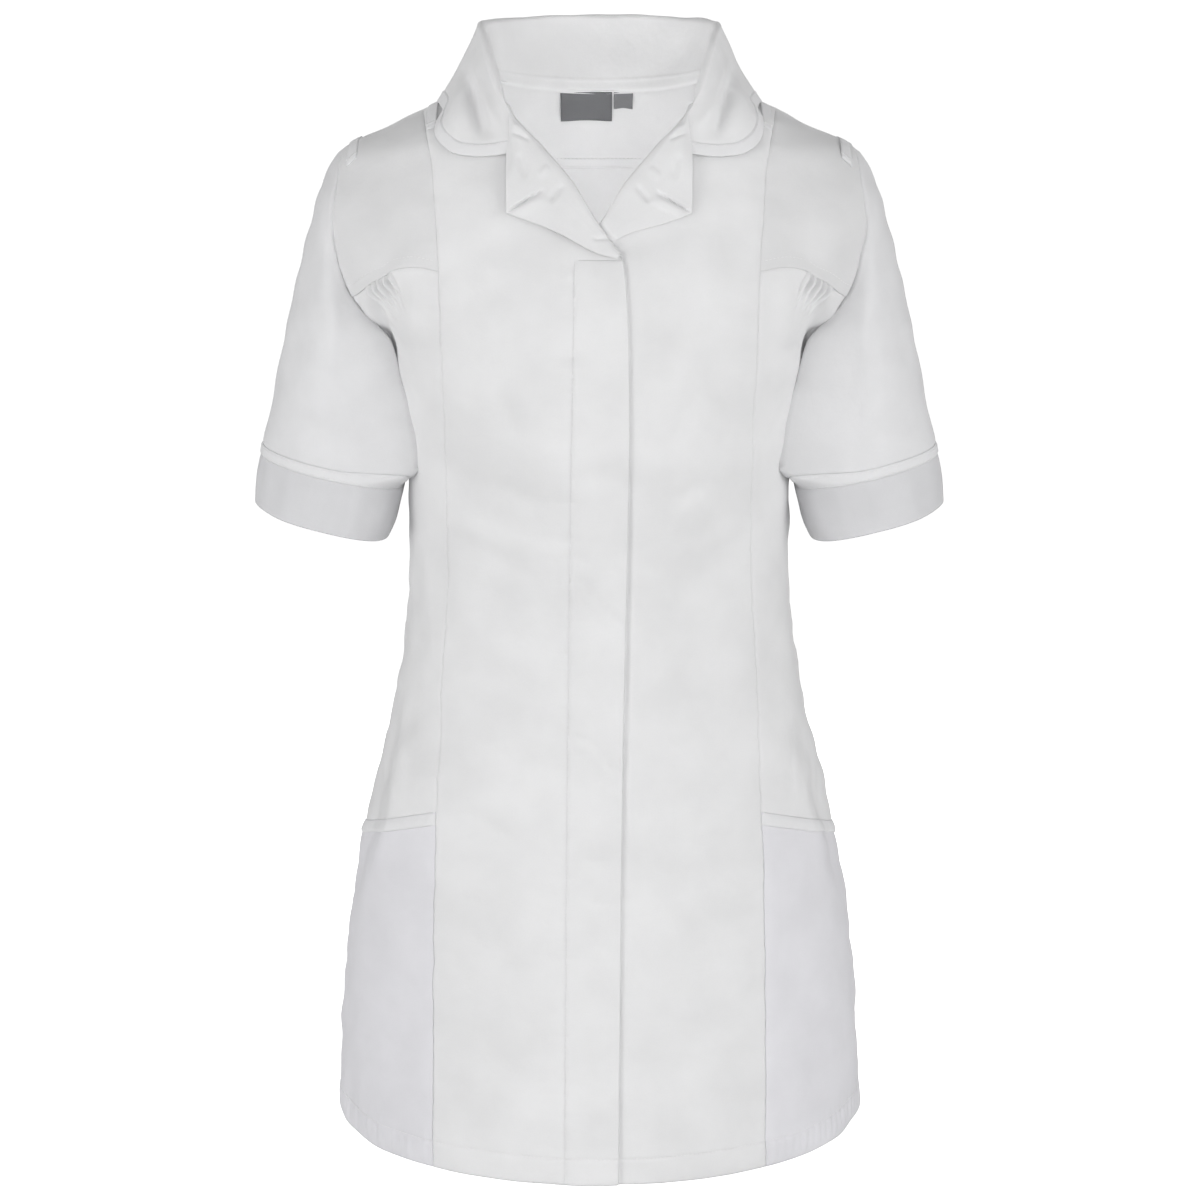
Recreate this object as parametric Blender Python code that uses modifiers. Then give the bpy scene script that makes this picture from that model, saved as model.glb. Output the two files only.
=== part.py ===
"""Short-sleeved work tunic, as worn: hollow, with open neck, hem and cuffs.

Metres, +Z up. The front faces -Y and the wearer's left is +X. The origin lies between the shoulders,
at the height where the shoulder seams meet the neck, in the plane of the side seams.
"""
import math
from collections import namedtuple

import bmesh
import bpy
import numpy as np
from mathutils import Vector

# Cloth and make-up, metres
WALL = 0.0012              # one ply of cloth, as built
COLLAR_WALL = 0.0016       # two plies and interlining
TAPE_WALL = 0.0010         # loops and labels
SEAM_GAP = 0.0003          # pieces that are sewn together stand this far apart
ON_TOP = 0.0017            # middle of a piece lying on a panel, above the panel's own middle
HEM_Z = -0.7705            # at centre front and back; the side seams end a little higher
SIDE_HEM_Z = -0.7645
HEM_DEPTH = 0.019
SHOULDER_TIP_Z = -0.048
UNDERARM_Z = -0.206
NAPE_Z = -0.015
BREAK_Z = -0.1155          # where the revers starts to turn back
TRIM_WIDTH = 0.009

# Level sections of the body. half is half the width, front and back are the depths from the side
# seams' plane. square is the power of the rounded outline: 2 is an ellipse.
Section = namedtuple("Section", "z half front back square")
BODY = [
    Section(HEM_Z, 0.1960, 0.1520, 0.1530, 2.10),
    Section(-0.700, 0.1923, 0.1465, 0.1490, 2.12),
    Section(-0.640, 0.1872, 0.1410, 0.1440, 2.15),
    Section(-0.577, 0.1786, 0.1350, 0.1360, 2.18),
    Section(-0.515, 0.1657, 0.1280, 0.1230, 2.20),
    Section(-0.454, 0.1508, 0.1195, 0.1050, 2.20),
    Section(-0.393, 0.1404, 0.1120, 0.0905, 2.20),
    Section(-0.333, 0.1370, 0.1115, 0.0865, 2.20),
    Section(-0.285, 0.1375, 0.1190, 0.0935, 2.20),
    Section(-0.245, 0.1412, 0.1265, 0.1020, 2.20),
    Section(-0.205, 0.1500, 0.1270, 0.1075, 2.20),
    Section(-0.180, 0.1570, 0.1240, 0.1095, 2.20),
    Section(-0.160, 0.1776, 0.1190, 0.1100, 2.20),
    Section(-0.140, 0.1955, 0.1135, 0.1095, 2.20),
    Section(-0.120, 0.2060, 0.1070, 0.1080, 2.20),
    Section(-0.100, 0.2115, 0.0985, 0.1060, 2.20),
    Section(-0.080, 0.2060, 0.0900, 0.1030, 2.20),
    Section(-0.060, 0.1920, 0.0800, 0.0985, 2.20),
    Section(SHOULDER_TIP_Z, 0.1780, 0.0740, 0.0945, 2.20),
    Section(-0.035, 0.1495, 0.0665, 0.0880, 2.20),
    Section(-0.020, 0.1176, 0.0570, 0.0775, 2.20),
    Section(0.0, 0.0700, 0.0460, 0.0560, 2.20),
]

# Soft folds of the body's cloth. Each runs down from top_z to low_z, leaning round by so many
# degrees, and is deepest peak of the way down. wide is half its width in degrees; depth is outward.
Fold = namedtuple("Fold", "angle top_z low_z peak lean wide depth")
FOLDS = [
    Fold(-60.0, -0.425, -0.600, 0.60, -4.0, 5.0, 0.0034),
    Fold(-73.0, -0.400, -0.610, 0.65, -5.0, 5.5, -0.0038),
    Fold(60.0, -0.430, -0.590, 0.60, 4.0, 5.0, 0.0032),
    Fold(72.0, -0.405, -0.620, 0.65, 5.0, 5.5, -0.0040),
    Fold(-33.0, -0.245, -0.490, 0.45, 5.0, 10.0, -0.0036),
    Fold(34.0, -0.240, -0.480, 0.45, -5.0, 10.0, -0.0036),
    Fold(-50.0, -0.640, HEM_Z, 1.0, -2.0, 7.5, 0.0034),
    Fold(-70.0, -0.620, HEM_Z, 1.0, -2.0, 7.0, -0.0038),
    Fold(52.0, -0.650, HEM_Z, 1.0, 2.0, 7.5, 0.0032),
    Fold(71.0, -0.610, HEM_Z, 1.0, 2.0, 7.0, -0.0040),
    Fold(116.0, -0.520, HEM_Z, 1.0, 3.0, 9.0, 0.0062),
    Fold(138.0, -0.560, HEM_Z, 1.0, 2.0, 9.5, -0.0060),
    Fold(160.0, -0.500, HEM_Z, 1.0, 1.0, 9.5, 0.0066),
    Fold(183.0, -0.550, HEM_Z, 1.0, 0.0, 9.5, -0.0054),
    Fold(206.0, -0.510, HEM_Z, 1.0, -1.0, 9.5, 0.0062),
    Fold(228.0, -0.570, HEM_Z, 1.0, -2.0, 9.5, -0.0058),
    Fold(247.0, -0.530, HEM_Z, 1.0, -3.0, 9.0, 0.0058),
    Fold(138.0, -0.250, -0.540, 0.55, 9.0, 10.0, -0.0062),
    Fold(161.0, -0.280, -0.520, 0.50, 5.0, 9.0, 0.0042),
    Fold(222.0, -0.245, -0.535, 0.55, -10.0, 10.0, -0.0066),
    Fold(199.0, -0.270, -0.510, 0.50, -5.0, 9.0, 0.0044),
]

# Princess seam from hem to shoulder. out is the distance to its own side of centre.
SeamPoint = namedtuple("SeamPoint", "z out")
PRINCESS = [
    SeamPoint(-0.7685, 0.1199), SeamPoint(-0.7685 + HEM_DEPTH, 0.1197), SeamPoint(-0.700, 0.1194),
    SeamPoint(-0.640, 0.1188), SeamPoint(-0.577, 0.1178), SeamPoint(-0.5190, 0.1160),
    SeamPoint(-0.5100, 0.1156), SeamPoint(-0.455, 0.1133), SeamPoint(-0.407, 0.1113),
    SeamPoint(-0.362, 0.1084), SeamPoint(-0.322, 0.1066), SeamPoint(-0.288, 0.1066),
    SeamPoint(-0.258, 0.1069), SeamPoint(-0.235, 0.1072), SeamPoint(-0.215, 0.1076),
    SeamPoint(-0.195, 0.1083), SeamPoint(-0.176, 0.1088), SeamPoint(-0.158, 0.1090),
    SeamPoint(-0.141, 0.1093), SeamPoint(-0.1243, 0.1102), SeamPoint(-0.107, 0.1109),
    SeamPoint(-0.090, 0.1121), SeamPoint(-0.073, 0.1136), SeamPoint(-0.0565, 0.1151),
    SeamPoint(-0.0425, 0.1178), SeamPoint(-0.0315, 0.1205), SeamPoint(-0.0250, 0.1224),
    SeamPoint(-0.0225, 0.1240),
]
YOKE_ROW = 19              # row where the upper side front is sewn to the gathered one
POCKET_TRIM_ROW = 5        # lower edge of the pocket's trim; the row above is its mouth

# Centre edge: up the front edge to the break, then along the neck to the shoulder seam.
FRONT_EDGE = [
    SeamPoint(HEM_Z, -0.0134), SeamPoint(HEM_Z + HEM_DEPTH, -0.0135), SeamPoint(-0.700, -0.0139),
    SeamPoint(-0.640, -0.0145), SeamPoint(-0.577, -0.0150), SeamPoint(-0.5170, -0.0156),
    SeamPoint(-0.5080, -0.0157), SeamPoint(-0.455, -0.0165), SeamPoint(-0.407, -0.0175),
    SeamPoint(-0.362, -0.0184), SeamPoint(-0.322, -0.0192), SeamPoint(-0.286, -0.0198),
    SeamPoint(-0.255, -0.0203), SeamPoint(-0.231, -0.0204), SeamPoint(-0.210, -0.0203),
    SeamPoint(-0.190, -0.0201), SeamPoint(-0.170, -0.0199), SeamPoint(-0.150, -0.0190),
    SeamPoint(-0.132, -0.0178), SeamPoint(BREAK_Z, -0.0158), SeamPoint(-0.0990, -0.0018),
    SeamPoint(-0.0815, 0.0110), SeamPoint(-0.0612, 0.0255), SeamPoint(-0.0446, 0.0408),
    SeamPoint(-0.0318, 0.0548), SeamPoint(-0.0195, 0.0640), SeamPoint(-0.0070, 0.0692),
    SeamPoint(0.0, 0.0700),
]
# Stitching of the fly strip, below the break. Above it the front's middle column runs on at a share
# of the way from the neck edge to the princess seam.
PLACKET_STITCH = [SeamPoint(HEM_Z, 0.0245), SeamPoint(-0.500, 0.0225), SeamPoint(BREAK_Z, 0.0168)]

NECK_COLUMN_SHARE = 0.27
FRONT_COLUMNS = [0.0, 0.2, 0.42, 0.7]           # from the princess seam to the fly's stitching
FLY_COLUMNS = [0.0, 0.5, 1.0]                   # from there to the front edge
UNDERLAP = 0.0019          # drop of the left front where it lies under the right one

# Side seam below the arm, row for row with the princess seam.
SIDE_Z = [SIDE_HEM_Z, SIDE_HEM_Z + HEM_DEPTH, -0.700, -0.650, -0.605, -0.5575, -0.5485, -0.482,
          -0.422, -0.370, -0.324, -0.286, -0.254, -0.228, UNDERARM_Z]
SIDE_ANGLE = 94.0          # side seam, degrees round from centre front
SIDE_SETTLES_IN = 0.060    # length below the underarm in which it comes to that angle
BACK_COLUMNS = 27
NECK_SHARE = 0.4           # share of the yoke's top edge that is neck, from the middle out

# Armhole, seen from the side, is an egg round its middle height.
ARMHOLE_FRONT_REACH = 0.056
ARMHOLE_BACK_REACH = 0.062
ARMHOLE_LOWER_FRONT = [180.0, 165.0, 150.0, 135.0, 120.0, 105.4]
ARMHOLE_UPPER_FRONT = [105.4, 93.0, 80.0, 67.0, 53.0, 39.0, 26.0, 13.0, 0.0]
ARMHOLE_LOWER_BACK = [180.0, 162.0, 144.0, 125.0, 106.0, 87.0, 67.0, 48.0]
ARMHOLE_UPPER_BACK = [48.0, 36.0, 24.0, 12.0, 0.0]

# Seam between upper and lower side front, from the princess seam to the armhole.
SHOULDER_PIECE_SEAM = [
    SeamPoint(-0.1243, 0.1103), SeamPoint(-0.1223, 0.1255), SeamPoint(-0.1237, 0.1361),
    SeamPoint(-0.1262, 0.1432), SeamPoint(-0.1300, 0.1480), SeamPoint(-0.1345, 0.1562),
    SeamPoint(-0.1440, 0.1668),
]
SIDE_COLUMNS = [0.0, 0.14, 0.28, 0.41, 0.51, 0.555, 0.60, 0.645, 0.69, 0.735, 0.78, 0.825, 0.87,
                0.915, 0.96, 1.0]
GATHER_FROM, GATHER_TO = 4, 14        # the columns that rise and fall, one gather to two columns
GATHER_DEPTH = 0.0022
GATHER_ROWS = [0.25, 0.75, 1.0, 0.8, 0.45]      # share of the depth, from the seam downwards

# Sleeve sections seen from the front: outer and inner ends, with depths before and behind.
SleeveRing = namedtuple("SleeveRing", "outer_x outer_z inner_x inner_z front back armhole_share")
SLEEVE = [
    SleeveRing(0.1780, SHOULDER_TIP_Z, 0.1500, UNDERARM_Z, 0.0560, 0.0620, 1.00),
    SleeveRing(0.1947, -0.0722, 0.1512, -0.2150, 0.0590, 0.0635, 0.62),
    SleeveRing(0.2076, -0.1148, 0.1492, -0.2260, 0.0610, 0.0640, 0.34),
    SleeveRing(0.2185, -0.1570, 0.1466, -0.2380, 0.0615, 0.0630, 0.15),
    SleeveRing(0.2288, -0.2010, 0.1438, -0.2510, 0.0605, 0.0605, 0.05),
    SleeveRing(0.2368, -0.2350, 0.1414, -0.2660, 0.0590, 0.0580, 0.0),
    SleeveRing(0.2420, -0.2590, 0.1399, -0.2800, 0.0580, 0.0565, 0.0),
    SleeveRing(0.2437, -0.2666, 0.1396, -0.2880, 0.0580, 0.0560, 0.0),
    SleeveRing(0.2466, -0.2840, 0.1452, -0.3075, 0.0582, 0.0560, 0.0),
    SleeveRing(0.2494, -0.3013, 0.1528, -0.3260, 0.0585, 0.0560, 0.0),
]
# Folds of a sleeve between armhole and trim. turn is degrees round from the shoulder tip, to the
# front; lean, wide and depth are as on the body.
SleeveFold = namedtuple("SleeveFold", "turn lean wide depth")
SLEEVE_FOLDS = [
    SleeveFold(62.0, -28.0, 18.0, -0.0034),
    SleeveFold(98.0, -34.0, 17.0, 0.0030),
    SleeveFold(134.0, -30.0, 18.0, -0.0038),
    SleeveFold(236.0, 34.0, 19.0, -0.0044),
    SleeveFold(276.0, 30.0, 18.0, 0.0034),
    SleeveFold(312.0, 18.0, 18.0, -0.0030),
]
SLEEVE_STAND_OFF = 0.0020  # the sleeve starts this far outside the side panels at the underarm,
TIP_STAND_OFF = 0.0003     # and this far at the shoulder tip
SLEEVE_TRIM_RING = 6       # the trim band runs from this ring to the next, and the cuff below it

# Collar from centre back round to its front end. seam_y is where its section meets the neck seam;
# fold is a point of the top fold; the leaf's edge lies over the body at an angle and height; bulge
# is how far the leaf stands out between fold and edge.
CollarRow = namedtuple("CollarRow", "seam_y fold edge_angle edge_z bulge")
COLLAR = [
    CollarRow(0.0730, (0.0000, 0.0810, 0.0380), 180.0, -0.0300, 0.006),
    CollarRow(0.0694, (0.0225, 0.0794, 0.0379), 169.0, -0.0305, 0.006),
    CollarRow(0.0635, (0.0440, 0.0735, 0.0376), 156.0, -0.0315, 0.005),
    CollarRow(0.0510, (0.0625, 0.0595, 0.0372), 140.0, -0.0310, 0.005),
    CollarRow(0.0310, (0.0752, 0.0360, 0.0370), 121.0, -0.0265, 0.004),
    CollarRow(0.0140, (0.0800, 0.0150, 0.0368), 104.0, -0.0192, 0.003),
    CollarRow(-0.0030, (0.0803, -0.0030, 0.0352), 84.0, -0.0180, 0.003),
    CollarRow(-0.0160, (0.0788, -0.0160, 0.0296), 65.7, -0.0205, 0.003),
    CollarRow(-0.0250, (0.0772, -0.0270, 0.0232), 53.0, -0.0292, 0.003),
    CollarRow(-0.0325, (0.0750, -0.0360, 0.0152), 43.5, -0.0380, 0.003),
    CollarRow(-0.0390, (0.0722, -0.0435, 0.0070), 36.2, -0.0445, 0.003),
    CollarRow(-0.0440, (0.0697, -0.0490, -0.0002), 30.0, -0.0492, 0.003),
    CollarRow(-0.0478, (0.0678, -0.0525, -0.0055), 24.8, -0.0501, 0.002),
    CollarRow(-0.0505, (0.0662, -0.0545, -0.0095), 18.9, -0.0485, 0.002),
]
LEAF_LIFT = 0.0032
NECK_ROW = 21              # the front edge's rows from here up are sewn to the collar
NECK_MIDDLE = (0.0, 0.01, -0.06)

# Revers from its top to the break: the roll line, the outer edge, and the lift over what it covers.
ReversRow = namedtuple("ReversRow", "roll_out roll_z edge_out edge_z lift")
REVERS = [
    ReversRow(0.0590, -0.0248, 0.0622, -0.0268, 0.0085),
    ReversRow(0.0560, -0.0283, 0.0628, -0.0360, 0.0085),
    ReversRow(0.0505, -0.0338, 0.0630, -0.0490, 0.0080),
    ReversRow(0.0430, -0.0402, 0.0632, -0.0620, 0.0068),
    ReversRow(0.0335, -0.0500, 0.0632, -0.0745, 0.0055),
    ReversRow(0.0250, -0.0590, 0.0631, -0.0862, 0.0048),
    ReversRow(0.0180, -0.0675, 0.0510, -0.0903, 0.0045),
    ReversRow(0.0115, -0.0775, 0.0370, -0.0949, 0.0042),
    ReversRow(0.0055, -0.0870, 0.0235, -0.1007, 0.0040),
    ReversRow(0.0000, -0.0952, 0.0110, -0.1074, 0.0038),
    ReversRow(-0.0070, -0.1048, 0.0000, -0.1122, 0.0036),
    ReversRow(-0.0140, -0.1130, -0.0125, -0.1150, 0.0034),
]

# A revers from roll line to outer edge: share of the way, reach beyond the roll line, and share of
# the lift.
ReversPlace = namedtuple("ReversPlace", "share beyond lift")
REVERS_SECTION = [
    ReversPlace(0.0, 0.0004, 0.0), ReversPlace(0.0, 0.0009, 0.5), ReversPlace(0.06, 0.0, 0.92),
    ReversPlace(0.3, 0.0, 1.0), ReversPlace(0.65, 0.0, 0.95), ReversPlace(1.0, 0.0, 0.8),
]
LEFT_REVERS_ROWS = 9       # the left one ends where it passes under the right one,
LEFT_REVERS_LIFT = 0.62    # and lies flatter, by this share

# Epaulette loops: distance out, width, and how far each reaches before and behind the shoulder seam.
Loop = namedtuple("Loop", "name out width front_reach back_reach")
LOOPS = [
    Loop("shoulder_loop", 0.1720, 0.0072, 0.036, 0.034),
    Loop("neck_loop", 0.1202, 0.0060, 0.042, 0.036),
]
LOOP_SEWN_LIFT = 0.0014    # middle of the strap above the shoulder where it is sewn down
LOOP_STAND = 0.0020        # and how much further it stands off between its ends

CLOTH_WHITE = (0.86, 0.86, 0.87, 1.0)
LABEL_GREY = (0.16, 0.16, 0.17, 1.0)

# Labels in the back neck: left and right edges, length below the seam, and lift off the yoke's
# middle, which is negative because they hang inside it.
Label = namedtuple("Label", "name left right drop lift")
LABELS = [
    Label("neck_label", -0.0284, 0.0093, 0.024, -0.0030),
    Label("size_tab", 0.0107, 0.0245, 0.014, -0.0039),
]
LABEL_HANG = 0.0008        # the foot stands this much further in than the top


def smooth_curve(keys, values):
    """Monotone cubic through pairs of key and value; the keys rise."""
    keys = np.asarray(keys, float)
    values = np.asarray(values, float)
    step = np.diff(keys)
    slope = np.diff(values) / step
    tangent = np.zeros(len(keys))
    tangent[0], tangent[-1] = slope[0], slope[-1]
    for i in range(1, len(keys) - 1):
        if slope[i - 1] * slope[i] > 0:
            tangent[i] = 2 * slope[i - 1] * slope[i] / (slope[i - 1] + slope[i])

    def value_at(key):
        i = int(np.clip(np.searchsorted(keys, key) - 1, 0, len(step) - 1))
        t = (key - keys[i]) / step[i]
        return float(values[i] * (2 * t ** 3 - 3 * t ** 2 + 1)
                     + values[i + 1] * (3 * t ** 2 - 2 * t ** 3)
                     + step[i] * (tangent[i] * (t ** 3 - 2 * t ** 2 + t)
                                  + tangent[i + 1] * (t ** 3 - t ** 2)))

    return value_at


def column(table, key, value):
    """Smooth curve through one column of a table, against another of its columns."""
    return smooth_curve([getattr(row, key) for row in table], [getattr(row, value) for row in table])


body_half = column(BODY, "z", "half")
body_front = column(BODY, "z", "front")
body_back = column(BODY, "z", "back")
body_square = column(BODY, "z", "square")
stitch_out = column(PLACKET_STITCH, "z", "out")
armhole_middle_z = (SHOULDER_TIP_Z + UNDERARM_Z) / 2
armhole_half_height = (SHOULDER_TIP_Z - UNDERARM_Z) / 2


def signed_power(base, power):
    return math.copysign(abs(base) ** power, base)


def fold_strength(share, peak):
    """Rises softly from the fold's top to its deepest place and falls again to its foot."""
    if share <= 0 or share > 1:
        return 0.0
    rise = share / peak if share <= peak else (1 - share) / (1 - peak)
    return rise * rise * (3 - 2 * rise)


def fold_depth(angle, z):
    """How far the folds carry the cloth out of the plain form."""
    depth = 0.0
    for fold in FOLDS:
        share = (fold.top_z - z) / (fold.top_z - fold.low_z)
        off = (angle - fold.angle - fold.lean * share + 180.0) % 360.0 - 180.0
        depth += fold.depth * fold_strength(share, fold.peak) * math.exp(-(off / fold.wide) ** 2)
    return depth


def body_point(angle, z):
    """Point of the body's form, angle degrees round from centre front, positive to the left."""
    across, along = math.sin(math.radians(angle)), math.cos(math.radians(angle))
    power = 2 / body_square(z)
    half, depth = body_half(z), body_front(z) if along > 0 else body_back(z)
    point = Vector((half * signed_power(across, power), -depth * signed_power(along, power), z))
    outward = Vector((depth * across, -half * along, 0.0)).normalized()
    return point + outward * fold_depth(angle, z)


def body_normal(angle, z):
    """Outward direction of the body's form."""
    turn, rise = 0.5, 0.001
    low, high = max(z - rise, HEM_Z), min(z + rise, 0.0)
    round_step = body_point(angle + turn, z) - body_point(angle - turn, z)
    up_step = body_point(angle, high) - body_point(angle, low)
    return round_step.cross(up_step).normalized()


def on_body(angle, z, lift=0.0):
    return body_point(angle, z) + body_normal(angle, z) * lift


def angle_at_out(out, z):
    """Angle on the front where the form is this far out from the centre line."""
    share = min(abs(out) / body_half(z), 1.0)
    return math.copysign(math.degrees(math.asin(share ** (body_square(z) / 2))), out)


def angle_at_depth(depth, z, is_front):
    """Angle on one side where the form is this far before or behind the side seams' plane."""
    full = body_front(z) if is_front else body_back(z)
    angle = math.degrees(math.acos(min(depth / full, 1.0) ** (body_square(z) / 2)))
    return angle if is_front else 180.0 - angle


def armhole(turn, is_front):
    """Angle and height of the armhole seam, turn degrees down from the shoulder tip."""
    z = armhole_middle_z + armhole_half_height * math.cos(math.radians(turn))
    reach = ARMHOLE_FRONT_REACH if is_front else ARMHOLE_BACK_REACH
    return angle_at_depth(reach * math.sin(math.radians(turn)), z, is_front), z


def side_seam(z):
    """Angle of the side seam, which moves back from the underarm to its own angle."""
    share = min((UNDERARM_Z - z) / SIDE_SETTLES_IN, 1.0)
    return 90.0 + (SIDE_ANGLE - 90.0) * share


def seam_rows(table):
    """Angle and height for each row of a front seam's table."""
    return np.array([(angle_at_out(row.out, row.z), row.z) for row in table])


def resample(points, shares):
    """Points along an open line of angles and heights, at shares of its length."""
    places = np.array([body_point(*point) for point in points])
    length = np.concatenate([[0.0], np.cumsum(np.linalg.norm(np.diff(places, axis=0), axis=1))])
    share = length / length[-1]
    return np.array([[np.interp(s, share, points[:, 0]), np.interp(s, share, points[:, 1])]
                     for s in shares])


def fill_patch(start, end, shares, low=None, high=None):
    """Rows of angles and heights between two seams, bent towards its low and high edges."""
    rows = []
    last = len(start) - 1
    for k, (a, b) in enumerate(zip(start, end)):
        row = np.array([a + (b - a) * s for s in shares])
        for edge, end_row, weight in ((low, 0, (1 - k / last) ** 3), (high, last, (k / last) ** 3)):
            if edge is not None:
                flat = np.array([start[end_row] + (end[end_row] - start[end_row]) * s for s in shares])
                row = row + (edge - flat) * weight
        rows.append(row)
    return np.array(rows)


def lay_on_body(patch, side=1, lift=None):
    """3-D rows of a patch; lift is a function of row, column and angle."""
    rows = []
    for k, row in enumerate(patch):
        rows.append([on_body(side * angle, z, lift(k, j, angle) if lift else 0.0)
                     for j, (angle, z) in enumerate(row)])
    return rows


def draw_in(rows, amount, closed=False):
    """Move an open sheet's edges inwards, square to themselves, by half a seam gap."""
    grid = np.array([[tuple(point) for point in row] for row in rows])
    moved = grid.copy()

    def pull(edge, inner):
        along = np.gradient(edge, axis=0)
        along /= np.linalg.norm(along, axis=1)[:, None]
        across = inner - edge
        across -= along * np.sum(across * along, axis=1)[:, None]
        return amount * across / np.linalg.norm(across, axis=1)[:, None]

    moved[0] += pull(grid[0], grid[1])
    moved[-1] += pull(grid[-1], grid[-2])
    if not closed:
        moved[:, 0] += pull(grid[:, 0], grid[:, 1])
        moved[:, -1] += pull(grid[:, -1], grid[:, -2])
    return moved


def cloth_material(name, colour, roughness=0.85):
    material = bpy.data.materials.new(name)
    material.use_nodes = True
    shader = material.node_tree.nodes["Principled BSDF"]
    shader.inputs["Base Color"].default_value = colour
    shader.inputs["Roughness"].default_value = roughness
    shader.inputs["Metallic"].default_value = 0.0
    return material


def sheet(name, rows, wall=WALL, closed=False, colour=CLOTH_WHITE, roughness=0.85):
    """One piece of cloth: an open grid of points, given its wall by Solidify."""
    bm = bmesh.new()
    points = [[bm.verts.new(point) for point in row] for row in rows]
    wide = len(rows[0])
    for low, high in zip(points, points[1:]):
        for j in range(wide if closed else wide - 1):
            following = (j + 1) % wide
            bm.faces.new((low[j], low[following], high[following], high[j]))
    bmesh.ops.recalc_face_normals(bm, faces=bm.faces)
    mesh = bpy.data.meshes.new(name)
    bm.to_mesh(mesh)
    bm.free()
    mesh.shade_smooth()
    mesh.materials.append(cloth_material(name + "_cloth", colour, roughness))
    piece = bpy.data.objects.new(name, mesh)
    tunic_pieces.objects.link(piece)
    solidify = piece.modifiers.new("wall", "SOLIDIFY")
    solidify.thickness = wall
    solidify.offset = 0.0
    return piece


def sides():
    return (("right", -1), ("left", 1))


def front_patch():
    """Angles and heights of one front, princess seam first, with columns at the fly's stitching."""
    princess, edge = seam_rows(PRINCESS), seam_rows(FRONT_EDGE)
    stitch = []
    for k, row in enumerate(FRONT_EDGE):
        if k <= YOKE_ROW:
            z = row.z
            stitch.append((angle_at_out(stitch_out(z), z), z))
        else:
            stitch.append(tuple(edge[k] + (princess[k] - edge[k]) * NECK_COLUMN_SHARE))
    stitch = np.array(stitch)
    outer = fill_patch(princess, stitch, FRONT_COLUMNS)
    inner = fill_patch(stitch, edge, FLY_COLUMNS)
    return np.concatenate([outer, inner], axis=1)


def make_fronts():
    """Right front over left front; the left one drops back under the overlap."""
    patch = front_patch()
    full_at, none_at = 10.0, 24.0               # degrees from the centre

    def left_lift(k, j, angle):
        share = min(max((none_at - angle) / (none_at - full_at), 0.0), 1.0)
        return -UNDERLAP * share * share * (3 - 2 * share)

    sheet("front_right", draw_in(lay_on_body(patch, -1), SEAM_GAP / 2))
    sheet("front_left", draw_in(lay_on_body(patch, 1, left_lift), SEAM_GAP / 2))
    fly = patch[:YOKE_ROW + 1, -len(FLY_COLUMNS):]
    sheet("placket", draw_in(lay_on_body(fly, -1, lambda k, j, angle: ON_TOP), SEAM_GAP / 2))


def shoulder_seam_line():
    """Seam of the shoulder piece, at the side panel's columns."""
    line = seam_rows(SHOULDER_PIECE_SEAM)
    line = np.vstack([line, armhole(ARMHOLE_LOWER_FRONT[-1], True)])
    return resample(line, SIDE_COLUMNS)


def gather_lift(rows_down, j):
    """Height of the gathers under the shoulder piece, rows_down from its seam."""
    if rows_down >= len(GATHER_ROWS) or not GATHER_FROM < j < GATHER_TO:
        return 0.0
    crest = 1.0 if (j - GATHER_FROM) % 2 else -0.35
    return GATHER_DEPTH * GATHER_ROWS[rows_down] * crest


def side_patches():
    """Angles and heights of the lower and upper side fronts."""
    princess = seam_rows(PRINCESS)
    seam = shoulder_seam_line()
    below_arm = [(side_seam(z), z) for z in SIDE_Z]
    lower_edge = np.array(below_arm + [armhole(turn, True) for turn in ARMHOLE_LOWER_FRONT[1:]])
    upper_edge = np.array([armhole(turn, True) for turn in ARMHOLE_UPPER_FRONT])
    lower = fill_patch(princess[:YOKE_ROW + 1], lower_edge, SIDE_COLUMNS, high=seam)
    upper = fill_patch(princess[YOKE_ROW:], upper_edge, SIDE_COLUMNS, low=seam)
    return lower, upper


def make_side_fronts():
    lower, upper = side_patches()

    def gathers(k, j, angle):
        return gather_lift(YOKE_ROW - k, j)

    for name, side in sides():
        sheet("side_front_" + name, draw_in(lay_on_body(lower, side, gathers), SEAM_GAP / 2))
        sheet("shoulder_front_" + name, draw_in(lay_on_body(upper, side), SEAM_GAP / 2))
        pocket = lower[:POCKET_TRIM_ROW + 2]
        trim = pocket[POCKET_TRIM_ROW:]
        sheet("hip_pocket_" + name,
              draw_in(lay_on_body(pocket, side, lambda k, j, angle: ON_TOP), SEAM_GAP / 2))
        sheet("pocket_trim_" + name,
              draw_in(lay_on_body(trim, side, lambda k, j, angle: 2 * ON_TOP), SEAM_GAP))


def make_back():
    """Back body up to the yoke seam, and the yoke above it with the back of the neck."""
    across = np.linspace(-1.0, 1.0, BACK_COLUMNS)
    below_arm = [(side_seam(z), z) for z in SIDE_Z]
    edge = np.array(below_arm + [armhole(turn, False) for turn in ARMHOLE_LOWER_BACK[1:]])
    body_rows = [[(180.0 - (180.0 - angle) * s, z) for s in across] for angle, z in edge]
    sheet("back_body", draw_in(lay_on_body(body_rows), SEAM_GAP / 2))

    yoke_edge = np.array([armhole(turn, False) for turn in ARMHOLE_UPPER_BACK])
    other_edge = yoke_edge * [-1, 1] + [360.0, 0]
    top = np.array([yoke_top(s) for s in across])
    yoke = fill_patch(other_edge, yoke_edge, (across + 1) / 2, high=top)
    sheet("back_yoke", draw_in(lay_on_body(yoke), SEAM_GAP))


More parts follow.
